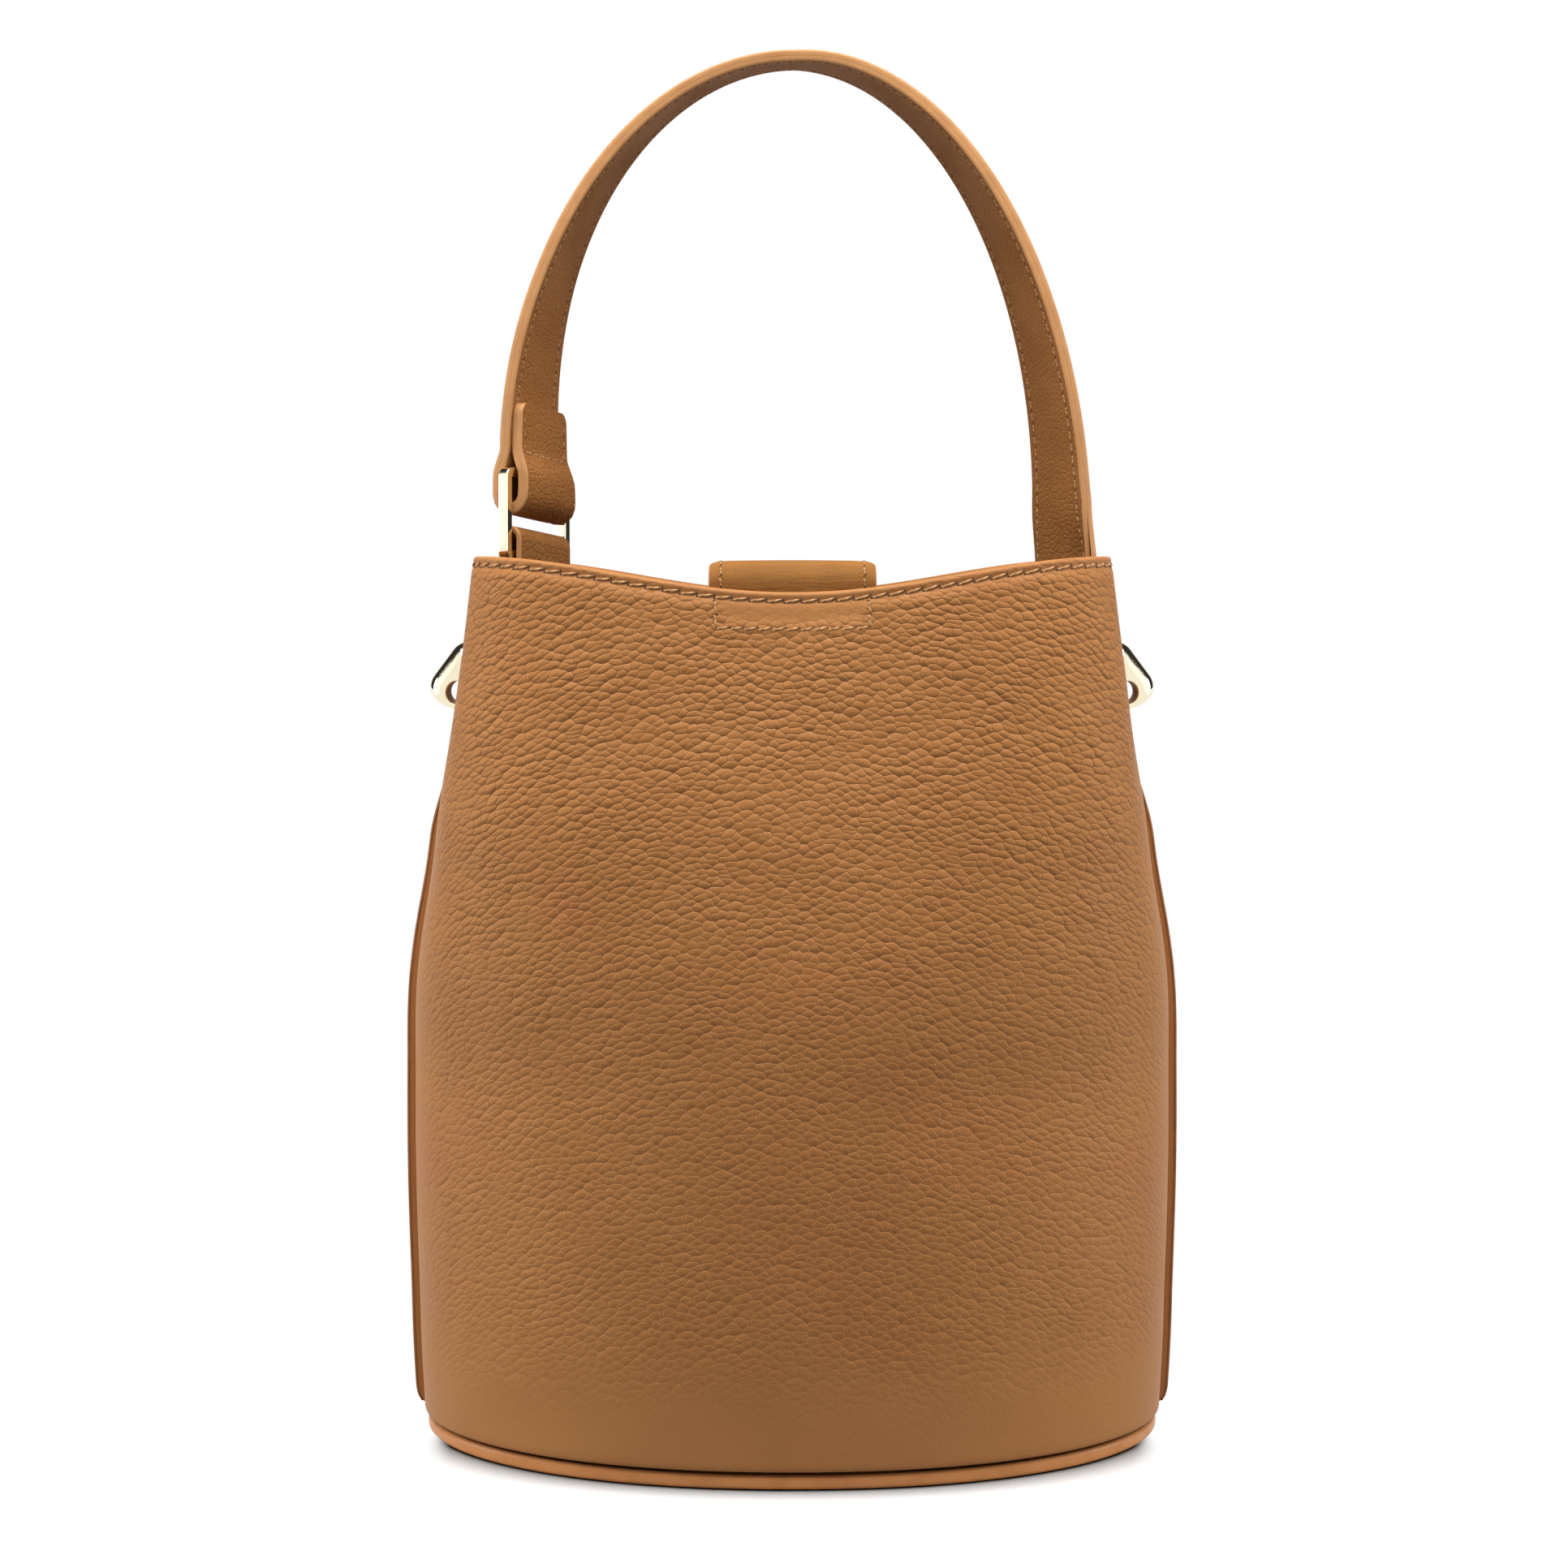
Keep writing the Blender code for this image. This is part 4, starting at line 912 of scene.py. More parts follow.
def band_profile(outside, inside, foot, to_rim, top_lift, steps):
    """Rows round a thin band: up its outer face, over its top, down its inner face and round its foot."""
    radius = (inside - outside) / 2

    def face(inset, shares):
        span = top_lift - 2 * radius
        return [(inset, foot, radius + span * share, share * to_rim) for share in shares]

    def turn_over(start, lift, share):
        turns = arc(start, start + 180, 7)[1:]
        return [(outside + radius * (1 - across), foot, lift + radius * up, share) for across, up in turns]

    shares = np.linspace(0.0, 1.0, steps)
    rows = face(outside, shares) + turn_over(0, top_lift - radius, to_rim)[:-1]
    return rows + face(inside, shares[::-1]) + turn_over(180, radius, 0.0)


def lining_profile():
    """Rows of the lining, from its floor to the facing."""
    heights = np.linspace(LINING_FOOT, FACING_FOOT - GAP, LINING_STEPS)
    rows = [(LINING_OUTSIDE, height, 0.0, 0.0) for height in heights]
    rows += [(LINING_OUTSIDE + LINING, height, 0.0, 0.0) for height in heights[::-1]]
    return rows + rows[:1]


# Base: an oval plate with a painted, rounded edge


def oval(a, out, height):
    """Points round the whole foot of the wall, moved out."""
    across, front = halves(a)
    points = round_wall(across, front, np.full(len(a), WALL_FOOT), out)
    points[:, 2] = height
    return points


def plate_rows(edge, low, high, rounding):
    """Rows of a plate as (share of the outline, out, height, painted)."""
    rows = [(share, 0.0, low, 0) for share in (0.0, 0.25, 0.5, 0.75, 0.9, 0.97)]
    for start, height in ((-90, low + rounding), (0, high - rounding)):
        for across, up in arc(start, start + 90, 6):
            rows.append((1.0, edge + rounding * (across - 1), height + rounding * up, 1))
    rows += [(share, 0.0, high - 0.1 * MM, 0) for share in (0.97, 0.9, 0.6, 0.3, 0.0)]
    return np.array(rows)


def build_plate(name, node, rows, finishes):
    """An oval plate inside the foot of the wall."""

    def place(a, b):
        share, out, height, _ = rows[nearest(b, len(rows))].T
        points = oval(a, out, height)
        points[:, :2] *= share[:, None]
        return points, points[:, :2].copy(), 0.5

    body = skin(place, 220, len(rows) - 1, closed=True, row_bands=rows[:-1, 3])
    face_outwards(body)
    stand_in(piece(name, body, finishes, 50), node, "bag")


# Straps


def rounded_path(corners, radii, steps=12):
    """The 2D path through the corners, each inner corner rounded to its radius."""
    points = [Vector(corners[0])]
    for before, corner, after, radius in zip(corners, corners[1:], corners[2:], radii):
        corner = Vector(corner)
        back = (Vector(before) - corner).normalized()
        ahead = (Vector(after) - corner).normalized()
        half = math.acos(max(-1.0, min(1.0, back.dot(ahead)))) / 2
        reach = radius / math.tan(half)
        centre = corner + (back + ahead).normalized() * (radius / math.sin(half))
        start = corner + back * reach - centre
        end = corner + ahead * reach - centre
        sweep = math.atan2(start.x * end.y - start.y * end.x, start.dot(end))
        for step in range(steps + 1):
            points.append(centre + Matrix.Rotation(sweep * step / steps, 2) @ start)
    points.append(Vector(corners[-1]))
    return points


def rounded_loop(corners, radii):
    last = (Vector(corners[-1]) + Vector(corners[0])) / 2
    return rounded_path([last, *corners, last], radii)[1:-1]


class Path:
    """Evenly spaced frames along a line: middles, directions of travel, across and outwards."""

    def __init__(self, points, across, spacing):
        points = np.array([tuple(point) for point in points])
        across = np.array([tuple(side) for side in across])
        run = running_lengths(points)
        count = max(2, int(round(run[-1] / spacing)) + 1)
        self.run = np.linspace(0.0, run[-1], count)
        self.middle = resample(self.run, run, points)
        side = resample(self.run, run, across)
        self.travel = np.gradient(self.middle, axis=0)
        self.travel /= np.linalg.norm(self.travel, axis=1)[:, None]
        side -= self.travel * np.sum(side * self.travel, axis=1)[:, None]
        self.side = side / np.linalg.norm(side, axis=1)[:, None]
        self.outward = np.cross(self.travel, self.side)

    def at(self, run, across, height):
        """Points at a running length, a distance across and a height to the outer side."""
        middle = resample(run, self.run, self.middle)
        side = resample(run, self.run, self.side)
        return middle + across[:, None] * side + height[:, None] * self.outward_at(run)

    def outward_at(self, run):
        return resample(run, self.run, self.outward)


# Section of a ply: shares of its face, then of its domed edge, all the way round
FACE_SHARES = [-1.0, -0.96, -0.9, -0.84, -0.78, -0.7, -0.5, -0.17, 0.17, 0.5, 0.7, 0.78, 0.84, 0.9, 0.96, 1.0]
EDGE_TURNS = np.radians([60, 30, 0, -30, -60])


def ply_section():
    """Points round a ply as (share of the face, dome of the edge, side), with the painted columns marked."""
    points = [(share, 0.0, 1.0) for share in FACE_SHARES]
    points += [(1.0, math.cos(turn), math.sin(turn)) for turn in EDGE_TURNS]
    points += [(-share, 0.0, -1.0) for share in FACE_SHARES]
    points += [(-1.0, -math.cos(turn), -math.sin(turn)) for turn in EDGE_TURNS]
    points.append(points[0])
    faces = len(FACE_SHARES) - 1
    edges = len(EDGE_TURNS) + 1
    bands = [0] * faces + [1] * edges + [0] * faces + [1] * edges
    return np.array(points), np.array(bands)


PLY_POINTS, PLY_BANDS = ply_section()


def ply_skin(spot, run, half_width, groove=0.0, groove_inset=STRAP_STITCH_INSET, unit=1.0, partner=0):
    """A closed ply: spot puts (run, across, height) in space and half widths follow the runs.

    Unit is a run's length, and partner is the side where another ply lies, so the edge isn't domed there.
    """

    def place(a, b):
        share, dome, up = PLY_POINTS[nearest(a, len(PLY_POINTS))].T
        row = nearest(b, len(run))
        width = half_width[row]
        dome = np.where((up * partner > 0) & (np.abs(share) == 1.0), share, dome)
        across = share * (width - EDGE_DOME) + dome * EDGE_DOME
        dip = groove * np.exp(-(((np.abs(across) - width + groove_inset) / GROOVE_WIDTH) ** 2))
        height = up * VISUAL_PLY / 2 - np.where(np.abs(up) == 1.0, up * dip, 0.0)
        points = spot(run[row], across, height)
        return points, np.column_stack([across, run[row] * unit]), 1.0

    body = skin(place, len(PLY_POINTS) - 1, len(run) - 1, closed=True, column_bands=PLY_BANDS)
    close_ends(body, 1)
    face_outwards(body)
    return body


# Stitches


def add_stitch(body, centre, along, outward, length, radius, tilt, sink):
    """One slanted stitch, sunk a little in the leather, with dark spots of painted shade at its needle holes.
    """
    along = Vector(along).normalized()
    outward = Vector(outward).normalized()
    aside = outward.cross(along).normalized()
    outward = along.cross(aside)
    axis = along * math.cos(tilt) + aside * math.sin(tilt)
    width = outward.cross(axis)
    centre = Vector(centre)
    turn = Matrix((width * radius, outward * radius * 0.9, axis * length / 2)).transposed().to_4x4()
    place = Matrix.Translation(centre - outward * radius * sink) @ turn
    bmesh.ops.create_uvsphere(body, u_segments=7, v_segments=5, radius=1.0, matrix=place, calc_uvs=True)
    # Painted shade: a dark flattened spot at each end, where the needle hole is
    for end in (-0.5, 0.5):
        dark = Matrix((width * radius, outward * radius * 0.3, axis * radius * 0.9)).transposed().to_4x4()
        spot = Matrix.Translation(centre + axis * length * end * 1.02) @ dark
        made = bmesh.ops.create_icosphere(body, subdivisions=1, radius=1.0, matrix=spot)
        for vertex in made["verts"]:
            for face in vertex.link_faces:
                face.material_index = 1


def stitch_bmesh():
    body = bmesh.new()
    body.loops.layers.uv.new("surface")
    return body


def sew(body, points, outwards, stitch, sink=STITCH_SINK):
    """Stitches along a line of close points."""
    pitch, length, radius, tilt = stitch
    points = np.array(points)
    run = running_lengths(points)
    count = max(1, int(round(run[-1] / pitch)))
    step = run[-1] / count

    def read(table, place):
        return np.array([np.interp(place, run, column) for column in np.array(table).T])

    seam = stitch_bmesh()
    for index in range(count):
        place = (index + 0.5) * step
        along = read(points, place + step * 0.4) - read(points, place - step * 0.4)
        outward = read(outwards, place)
        add_stitch(seam, read(points, place), along, outward, length, radius, tilt, sink)
    joined([body, seam])


def stitches_piece(name, body):
    return piece(name, body, [thread, needle_hole_shade])


def strap_piece(name, body, leather=handle_leather):
    """A piece of strap: leather faces and painted edges."""
    return piece(name, body, [leather, painted_edge], 50)


def sew_rim():
    """The stitches round the mouth and the stitched box that holds the closure tab."""
    body = stitch_bmesh()
    across = np.linspace(0.012, 0.988, 600)
    rim = rim_height(panel_wall.top_x(across))
    for turn in (1, -1):
        points = panel_wall.at(across, rim - RIM_STITCH_DROP, -RIM_STITCH_SEAT)
        outward = panel_wall.outward(across, rim)
        if turn < 0:
            points = points * HALF_TURN
            outward = outward * HALF_TURN
        sew(body, points, outward, RIM_STITCH)
    foot = RIM_STITCH_DROP + BOX_HEIGHT
    lines = [(np.linspace(-BOX_HALF_WIDTH, BOX_HALF_WIDTH, 60), np.full(60, foot))]
    drop = np.linspace(RIM_STITCH_DROP + 0.3 * MM, foot, 12)
    for edge in (-1, 1):
        lines.append((np.full(12, edge * BOX_HALF_WIDTH), drop))
    for x, below in lines:
        heights = RIM_MIDDLE - below + (rim_height(x) - RIM_MIDDLE) * 0.35
        points, outward = on_back(x, heights)
        sew(body, points, outward, BOX_STITCH)
    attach(stitches_piece("rim_stitches", body), "bag")


def on_back(x, heights):
    """Points on the back panel at x and a height, and their outward directions."""
    points = []
    outwards = []
    for place, height in zip(x, heights):
        outline, outward, _ = section(height)
        y = np.interp(abs(place), outline[::-1, 0], outline[::-1, 1])
        out_x = np.interp(abs(place), outline[::-1, 0], outward[::-1, 0]) * np.sign(place)
        points.append((place, -y, height))
        outwards.append((out_x, -1.0, 0.0))
    return points, outwards


# Where the handle meets the inside of the mouth

root_reach = 0.45 * STRAP_WIDTH
near_y = HANDLE_PLANE - root_reach
far_y = HANDLE_PLANE + root_reach
near_x = seat_x(-near_y, BODY_HEIGHT, FACING_INSIDE)
far_x = seat_x(-far_y, BODY_HEIGHT, FACING_INSIDE)
leg_turn = math.atan2(near_x - far_x, far_y - near_y)
seat_middle = (near_x + far_x) / 2
right_x = seat_middle - (STRAP_THICKNESS / 2 + 4 * GAP) / math.cos(leg_turn)
tab_radius = RING_BAR / 2 + LOOP_PLAY - GAP + TAB_PLY / 2
ring_x = seat_middle - (tab_radius + TAB_PLY / 2 + TAB_WALL_GAP) / math.cos(leg_turn)
ring_middle = Vector((-ring_x, HANDLE_PLANE, 0.0))
ring_across = Vector((math.sin(leg_turn), math.cos(leg_turn), 0.0))
ring_inward = Vector((math.cos(leg_turn), -math.sin(leg_turn), 0.0))


def beside_ring(path):
    return [ring_middle + ring_inward * inwards + Vector((0.0, 0.0, up)) for inwards, up in path]


def handle_path():
    """The handle from its turned-up end round the ring and over the arch to the right leg."""
    pair = (STRAP_THICKNESS + GAP) / 2
    bulge = RING_BAR / 2 + LOOP_PLAY + STRAP_THICKNESS / 2
    low = RING_TOP - LOOP_DROP + STRAP_THICKNESS / 2
    shoulder = RING_TOP - 2.5 * LOOP_PLAY
    stitched = RING_TOP + 3.0 * LOOP_PLAY
    end = RING_TOP - LOOP_DROP + FOLD_LENGTH
    inner = [(pair, end), (pair, stitched), (bulge, shoulder), (bulge, low)]
    outer = [(-inwards, up) for inwards, up in reversed(inner)]
    outer[-1] = (-pair, SPRING_LINE)
    bend = 2 * RING_BAR
    tight = bulge * 0.999
    fold = beside_ring(rounded_path(inner + outer, [bend, bend, tight, tight, bend, bend]))
    left = fold[-1]
    right_foot = Vector((right_x, HANDLE_PLANE, SWING_AXIS + SWING_CLEARANCE))
    top = BODY_HEIGHT + HANDLE_RISE
    middle_x = (left.x + right_x) / 2
    points = list(fold)
    across = [ring_across] * len(fold)
    for step in range(1, ARCH_STEPS + 1):
        angle = math.pi * step / ARCH_STEPS
        on_left = angle < math.pi / 2
        reach = middle_x - left.x if on_left else right_x - middle_x
        spring = SPRING_LINE if on_left else BODY_HEIGHT + HANDLE_RIGHT_SPRING
        above = (top - spring) * math.sin(angle)
        here = Vector((middle_x - reach * math.cos(angle), left.y, spring + above))
        here.y += (right_foot.y - left.y) * step / ARCH_STEPS
        if not on_left and here.z < right_foot.z + STRAP_THICKNESS:
            break
        share = abs(2 * step / ARCH_STEPS - 1) ** (HANDLE_LEFT_EASE if on_left else 1.0)
        turn = HANDLE_TOP_CANT + (leg_turn - HANDLE_TOP_CANT) * share
        outward = Vector((here.x - middle_x, 0.0, above * (reach / (top - spring)) ** 2)).normalized()
        points.append(here)
        across.append(Vector((0.0, math.cos(turn), 0.0)) - outward * math.sin(turn))
    points.append(right_foot)
    across.append(Vector((-math.sin(leg_turn), math.cos(leg_turn), 0.0)))
    return Path(points, across, 1.4 * MM)


handle = handle_path()


def on_handle(run, across, height):
    """Points of the handle, its left loop hanging a little lower at the far edge."""
    points = handle.at(run, across, height)
    left = smooth_step((-points[:, 0] - 30.0 * MM) / (20.0 * MM))
    low = 1 - smooth_step((points[:, 2] - SPRING_LINE - 12.0 * MM) / (35.0 * MM))
    points[:, 2] -= LOOP_SLOPE * across * left * low
    return points


def strap_half_widths(run):
    """Half widths along a strap whose first end has rounded corners."""
    short = np.clip((STRAP_CORNER - run) / STRAP_CORNER, 0.0, 1.0)
    return STRAP_WIDTH / 2 - STRAP_CORNER * (1 - np.sqrt(1 - (0.98 * short) ** 2))


def even_runs(length, spacing):
    """Running lengths, closer at the first end."""
    count = int((length - END_STEPS[-1]) / spacing)
    return np.concatenate([END_STEPS, np.linspace(END_STEPS[-1], length, count)[1:]])


def build_handle():
    """The handle's two plies, the end that is folded back at the ring, and the stitches."""
    run = even_runs(handle.run[-1], 1.5 * MM)
    widths = strap_half_widths(run)
    widths = widths * (1 - FOLD_TAPER * (1 - smooth_step(run / (1.2 * FOLD_LENGTH))))
    plies = (("handle_outer_ply", "handle_strap", 1), ("handle_inner_ply", "handle_lining", -1))
    for name, node, side in plies:

        def spot(length, across, height, side=side):
            return on_handle(length, across, height + side * PLY_OFFSET)

        body = ply_skin(spot, run, widths, STRAP_GROOVE, partner=-side)
        stand_in(strap_piece(name, body), node, "handle")
    body = stitch_bmesh()
    fold_end = FOLD_LENGTH - FOLD_UNSEWN
    high = PLY_OFFSET + STITCH_SEAT
    for up in (1, -1):
        sink = 0.25 + 0.3 * (up > 0)
        for edge in (-1, 1):
            for start, end in ((FIRST_STITCH, fold_end), (ARCH_FIRST_STITCH, handle.run[-1])):
                line = np.linspace(start, end, 300)
                flat = np.ones(300)
                points = on_handle(line, flat * edge * STRAP_STITCH_LINE, flat * up * high)
                sew(body, points, handle.outward_at(line) * up, STRAP_STITCH, sink)
        flat = np.full(30, fold_end)
        line = np.linspace(-STRAP_STITCH_LINE, STRAP_STITCH_LINE, 30)
        points = on_handle(flat, line, np.full(30, up * high))
        sew(body, points, handle.outward_at(flat) * up, STRAP_STITCH)
    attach(stitches_piece("handle_stitches", body), "handle")


def seat_spot(side, inset, top):
    """Places on the inside of the pinched wall: running length goes down from the top."""

    def spot(run, across, height):
        z = top - run
        share = across / STRAP_WIDTH
        y = HANDLE_PLANE + share * (far_y - near_y)
        x = np.array([seat_x(-aside, level, inset) for aside, level in zip(y, z)])
        points = np.column_stack([side * x, y, z])
        outward = np.array([side * math.cos(leg_turn), math.sin(leg_turn), 0.0])
        return points + height[:, None] * outward

    return spot


def build_root(name, node, side, top, length):
    """The end of a strap sewn to the inside of the mouth, ply on ply."""
    run = length - even_runs(length, 1.6 * MM)[::-1]
    widths = strap_half_widths(length - run)
    bodies = [ply_skin(seat_spot(side, inset, top), run, widths) for inset in ROOT_INSETS]
    stand_in(strap_piece(name, joined(bodies)), node, "bag")
    body = stitch_bmesh()
    spot = seat_spot(side, ROOT_INSETS[1] + STITCH_SEAT, top)
    inset = STRAP_STITCH_LINE
    high = 1.5 * MM
    low = length - FIRST_STITCH
    box = [(-inset, high), (-inset, low), (inset, low), (inset, high), (-inset, high)]
    inward = np.array([-side * math.cos(leg_turn), -math.sin(leg_turn), 0.0])
    for start, end in zip(box, box[1:]):
        line = np.linspace(start, end, 20)
        points = spot(line[:, 1], line[:, 0], np.zeros(20))
        sew(body, points, np.tile(inward, (20, 1)), STRAP_STITCH)
    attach(stitches_piece(name + "_stitches", body), "bag")


def bend_spot(side, inset, low, flat_spot):
    """Places between a sewn root, where the running length is 0, and a free strap, where it is 1."""
    seat = seat_spot(side, inset, low)

    def spot(run, across, height):
        start = seat(np.zeros(len(run)), across, height)
        end = flat_spot(across, height)
        ease = smooth_step(run)[:, None]
        points = start * (1 - ease) + end * ease
        points[:, 2] = start[:, 2] * (1 - run) + end[:, 2] * run
        return points

    return spot


def build_handle_bend():
    """The handle's right leg above its sewn root, where the strap bends as the handle swings; this piece is
    built in its rest shape.
    """
    foot = handle.run[-1]
    run = np.linspace(0.0, 1.0, 14)
    widths = np.full(len(run), STRAP_WIDTH / 2)
    low = HANDLE_ROOT_TOP + BEND_GAP
    top = SWING_AXIS + SWING_CLEARANCE
    bodies = []
    stitches = stitch_bmesh()
    for up, inset in zip((1, -1), ROOT_INSETS):

        def flat_spot(across, height, up=up):
            return on_handle(np.full(len(across), foot), across, height + up * PLY_OFFSET)

        spot = bend_spot(1, inset, low, flat_spot)
        bodies.append(ply_skin(spot, run, widths, unit=top - low, partner=-up))
        for edge in (-1, 1):
            line = np.linspace(0.12, 1.0, 40)
            flat = np.ones(40)
            points = spot(line, flat * edge * STRAP_STITCH_LINE, flat * up * STITCH_SEAT)
            sew(stitches, points, np.tile(handle.outward[-1] * up, (40, 1)), STRAP_STITCH)
    made = strap_piece("handle_root_bend", joined(bodies))
    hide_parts("handle_bend")
    threads = stitches_piece("handle_bend_stitches", stitches)
    for bent in (made, threads):
        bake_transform(bent)


def tab_frames():
    """The ring tab up from its inner foot, over the ring's lower bar and down to its outer foot."""
    top = BODY_HEIGHT + TAB_APEX - TAB_PLY / 2
    corners = [(tab_radius, TAB_FOOT), (tab_radius, top), (-tab_radius, top), (-tab_radius, TAB_FOOT)]
    path = beside_ring(rounded_path([Vector(corner) for corner in corners], [tab_radius * 0.999] * 2))
    return Path(path, [ring_across] * len(path), 0.7 * MM)


def build_ring_tab():
    """The leather tab over the ring's lower bar, and the stretch of it that bends below."""
    tab = tab_frames()

    def spot(run, across, height):
        points = tab.at(run, across, height)
        over = smooth_step((points[:, 2] - TAB_FOOT) / (3 * MM))
        points[:, 2] -= LOOP_SLOPE * across * over
        return points

    run = tab.run
    body = ply_skin(spot, run, np.full(len(run), STRAP_WIDTH / 2))
    stand_in(strap_piece("ring_loop", body), "ring_tab", "handle")
    shares = np.linspace(0.0, 1.0, 12)
    widths = np.full(len(shares), STRAP_WIDTH / 2)
    bodies = []
    low = TAB_ROOT_TOP + BEND_GAP
    for inset, foot in zip(ROOT_INSETS, (run[-1], 0.0)):

        def flat_spot(across, height, foot=foot):
            outer = 1 if foot else -1
            return tab.at(np.full(len(across), foot), across, height * outer)

        spot = bend_spot(-1, inset, low, flat_spot)
        bodies.append(ply_skin(spot, shares, widths, unit=TAB_FOOT - low))
    bend = strap_piece("ring_loop_bend", joined(bodies))
    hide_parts("ring_tab_bend")
    start = (-ring_x, HANDLE_PLANE, TAB_ROOT_TOP)
    -ring_x
    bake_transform(bend)


def build_ring():
    """The rectangular ring: a square bar with eased edges."""
    half_width = (RING_INNER_WIDTH + RING_BAR) / 2
    low = RING_FOOT + RING_BAR / 2
    high = RING_TOP - RING_BAR / 2
    corners = [(-half_width, low), (half_width, low), (half_width, high), (-half_width, high)]
    path = rounded_loop([Vector(corner) for corner in corners], [RING_VISUAL_CORNER] * 4)
    path.append(path[0])
    bar = RING_BAR / 2
    ease = RING_EASE
    outline = []
    for corner in range(4):
        turn = Matrix.Rotation(math.pi / 2 * corner, 2)
        centre = Vector((bar - ease, bar - ease))
        outline.append(turn @ Vector((bar, ease - bar + 0.08 * MM)))
        outline.append(turn @ Vector((bar, bar - ease - 0.08 * MM)))
        for step in range(5):
            angle = math.pi / 8 * step
            outline.append(turn @ (centre + ease * Vector((math.cos(angle), math.sin(angle)))))
    outline.append(outline[0])

    def place(a, b):
        points = []
        columns = nearest(a, len(outline))
        rows = nearest(b, len(path)) % (len(path) - 1)
        for column, row in zip(columns, rows):
            before = path[row - 1] if row else path[-2]
            travel = (path[row + 1] - before).normalized()
            outward = ring_across * travel.y - Vector((0.0, 0.0, travel.x))
            middle = ring_middle + ring_across * path[row].x + Vector((0.0, 0.0, path[row].y))
            points.append(middle + outward * outline[column].x + ring_inward * outline[column].y)
        points = np.array([tuple(point) for point in points])
        return points, points[:, 1:].copy(), 1.0

    body = skin(place, len(outline) - 1, len(path) - 1, closed=True)
    face_outwards(body)
    stand_in(piece("ring", body, [gold], 40), "handle_ring", "ring")


# Closure tab: its path runs in the YZ plane, up from the back rim, over the mouth and down the front

tab_back = -seat_y(RIM_MIDDLE, FACING_INSIDE + GAP)
closure_axis = rim_height(CLOSURE_WIDTH / 2) + CLOSURE_LIFT
stand_off = SOCKET_HEIGHT + STUD_FLANGE + 3 * GAP
closure_middle = stand_off + STRAP_THICKNESS / 2
hinge_high = closure_axis + 2.6 * MM


def front_seat(height):
    """The point of the front wall's middle at this height and its outward direction, as (y, z)."""
    step = 2 * MM
    slope = (seat_y(height + step, 0.0) - seat_y(height - step, 0.0)) / (2 * step)
    return Vector((seat_y(height, 0.0), height)), Vector((1.0, -slope)).normalized()


def closure_path():
    """The tab's middle line, from its foot in the mouth to its front end."""
    start_y = tab_back + STRAP_THICKNESS / 2
    top = RIM_MIDDLE + CLOSURE_TOP - STRAP_THICKNESS / 2
    front = []
    for share in np.linspace(0.25, 1.0, 8):
        point, outward = front_seat(RIM_MIDDLE - CLOSURE_DROP * share)
        front.append(point + outward * closure_middle)
    corner_y = front[0].x - (front[1].x - front[0].x) * 1.5
    low = Vector((start_y, RIM_MIDDLE - CLOSURE_ROOT_LENGTH))
    corners = [low, Vector((start_y, top)), Vector((corner_y, top)), front[0]]
    path = rounded_path(corners, [top - closure_axis - GAP, closure_middle * 1.6]) + front[1:]
    points = [Vector((0.0, point.x, point.y)) for point in path]
    return Path(points, [Vector((-1.0, 0.0, 0.0))] * len(points), 1.0 * MM)


closure = closure_path()
closure_end = closure.run[-1]


def closure_half_widths(run):
    short = np.clip(CLOSURE_END_RADIUS - (closure_end - run), 0.0, CLOSURE_END_RADIUS)
    rounding = CLOSURE_END_RADIUS - np.sqrt(CLOSURE_END_RADIUS**2 - (0.985 * short) ** 2)
    return CLOSURE_WIDTH / 2 - rounding


def closure_wave(run, across):
    """The tab lifts a little in its middle where it bends out of the mouth, and its edges turn down there."""
    height = np.interp(run, closure.run, closure.middle[:, 2])
    share = np.abs(across) / (CLOSURE_WIDTH / 2)
    at_edge = np.clip(1 - (1 - share) * CLOSURE_WIDTH / 2 / CLOSURE_TURNED_EDGE, 0.0, 1.0)
    drop = CLOSURE_ARCH * share**2 + CLOSURE_EDGE_DROP * at_edge**2
    return -drop * smooth_step((height - RIM_MIDDLE) / (6 * MM))


def on_closure(run, across, height):
    points = closure.at(run, across, height)
    points[:, 2] += closure_wave(run, across)
    return points


def closure_piece(name, start, end, sides):
    """A stretch of the tab's plies between two running lengths."""
    length = end - start
    run = np.linspace(0.0, length, max(4, int(length / (1.2 * MM))))
    if end == closure_end:
        rounded = length - CLOSURE_END_RADIUS * np.linspace(1.0, 0.0, 30) ** 1.6
        run = np.concatenate([run[run < rounded[0]], rounded])
    run = run + start
    widths = closure_half_widths(run)
    bodies = []
    for side in sides:

        def spot(place, across, height, side=side):
            return on_closure(place, across, height + side * PLY_OFFSET)

        bodies.append(ply_skin(spot, run, widths, CLOSURE_GROOVE, CLOSURE_STITCH_INSET, partner=-side))
    return strap_piece(name, joined(bodies), tab_leather)


def run_at_height(height):
    """The running length where the tab first passes a height on its way up."""
    rising = np.argmax(closure.middle[:, 2] >= height)
    return closure.run[rising]


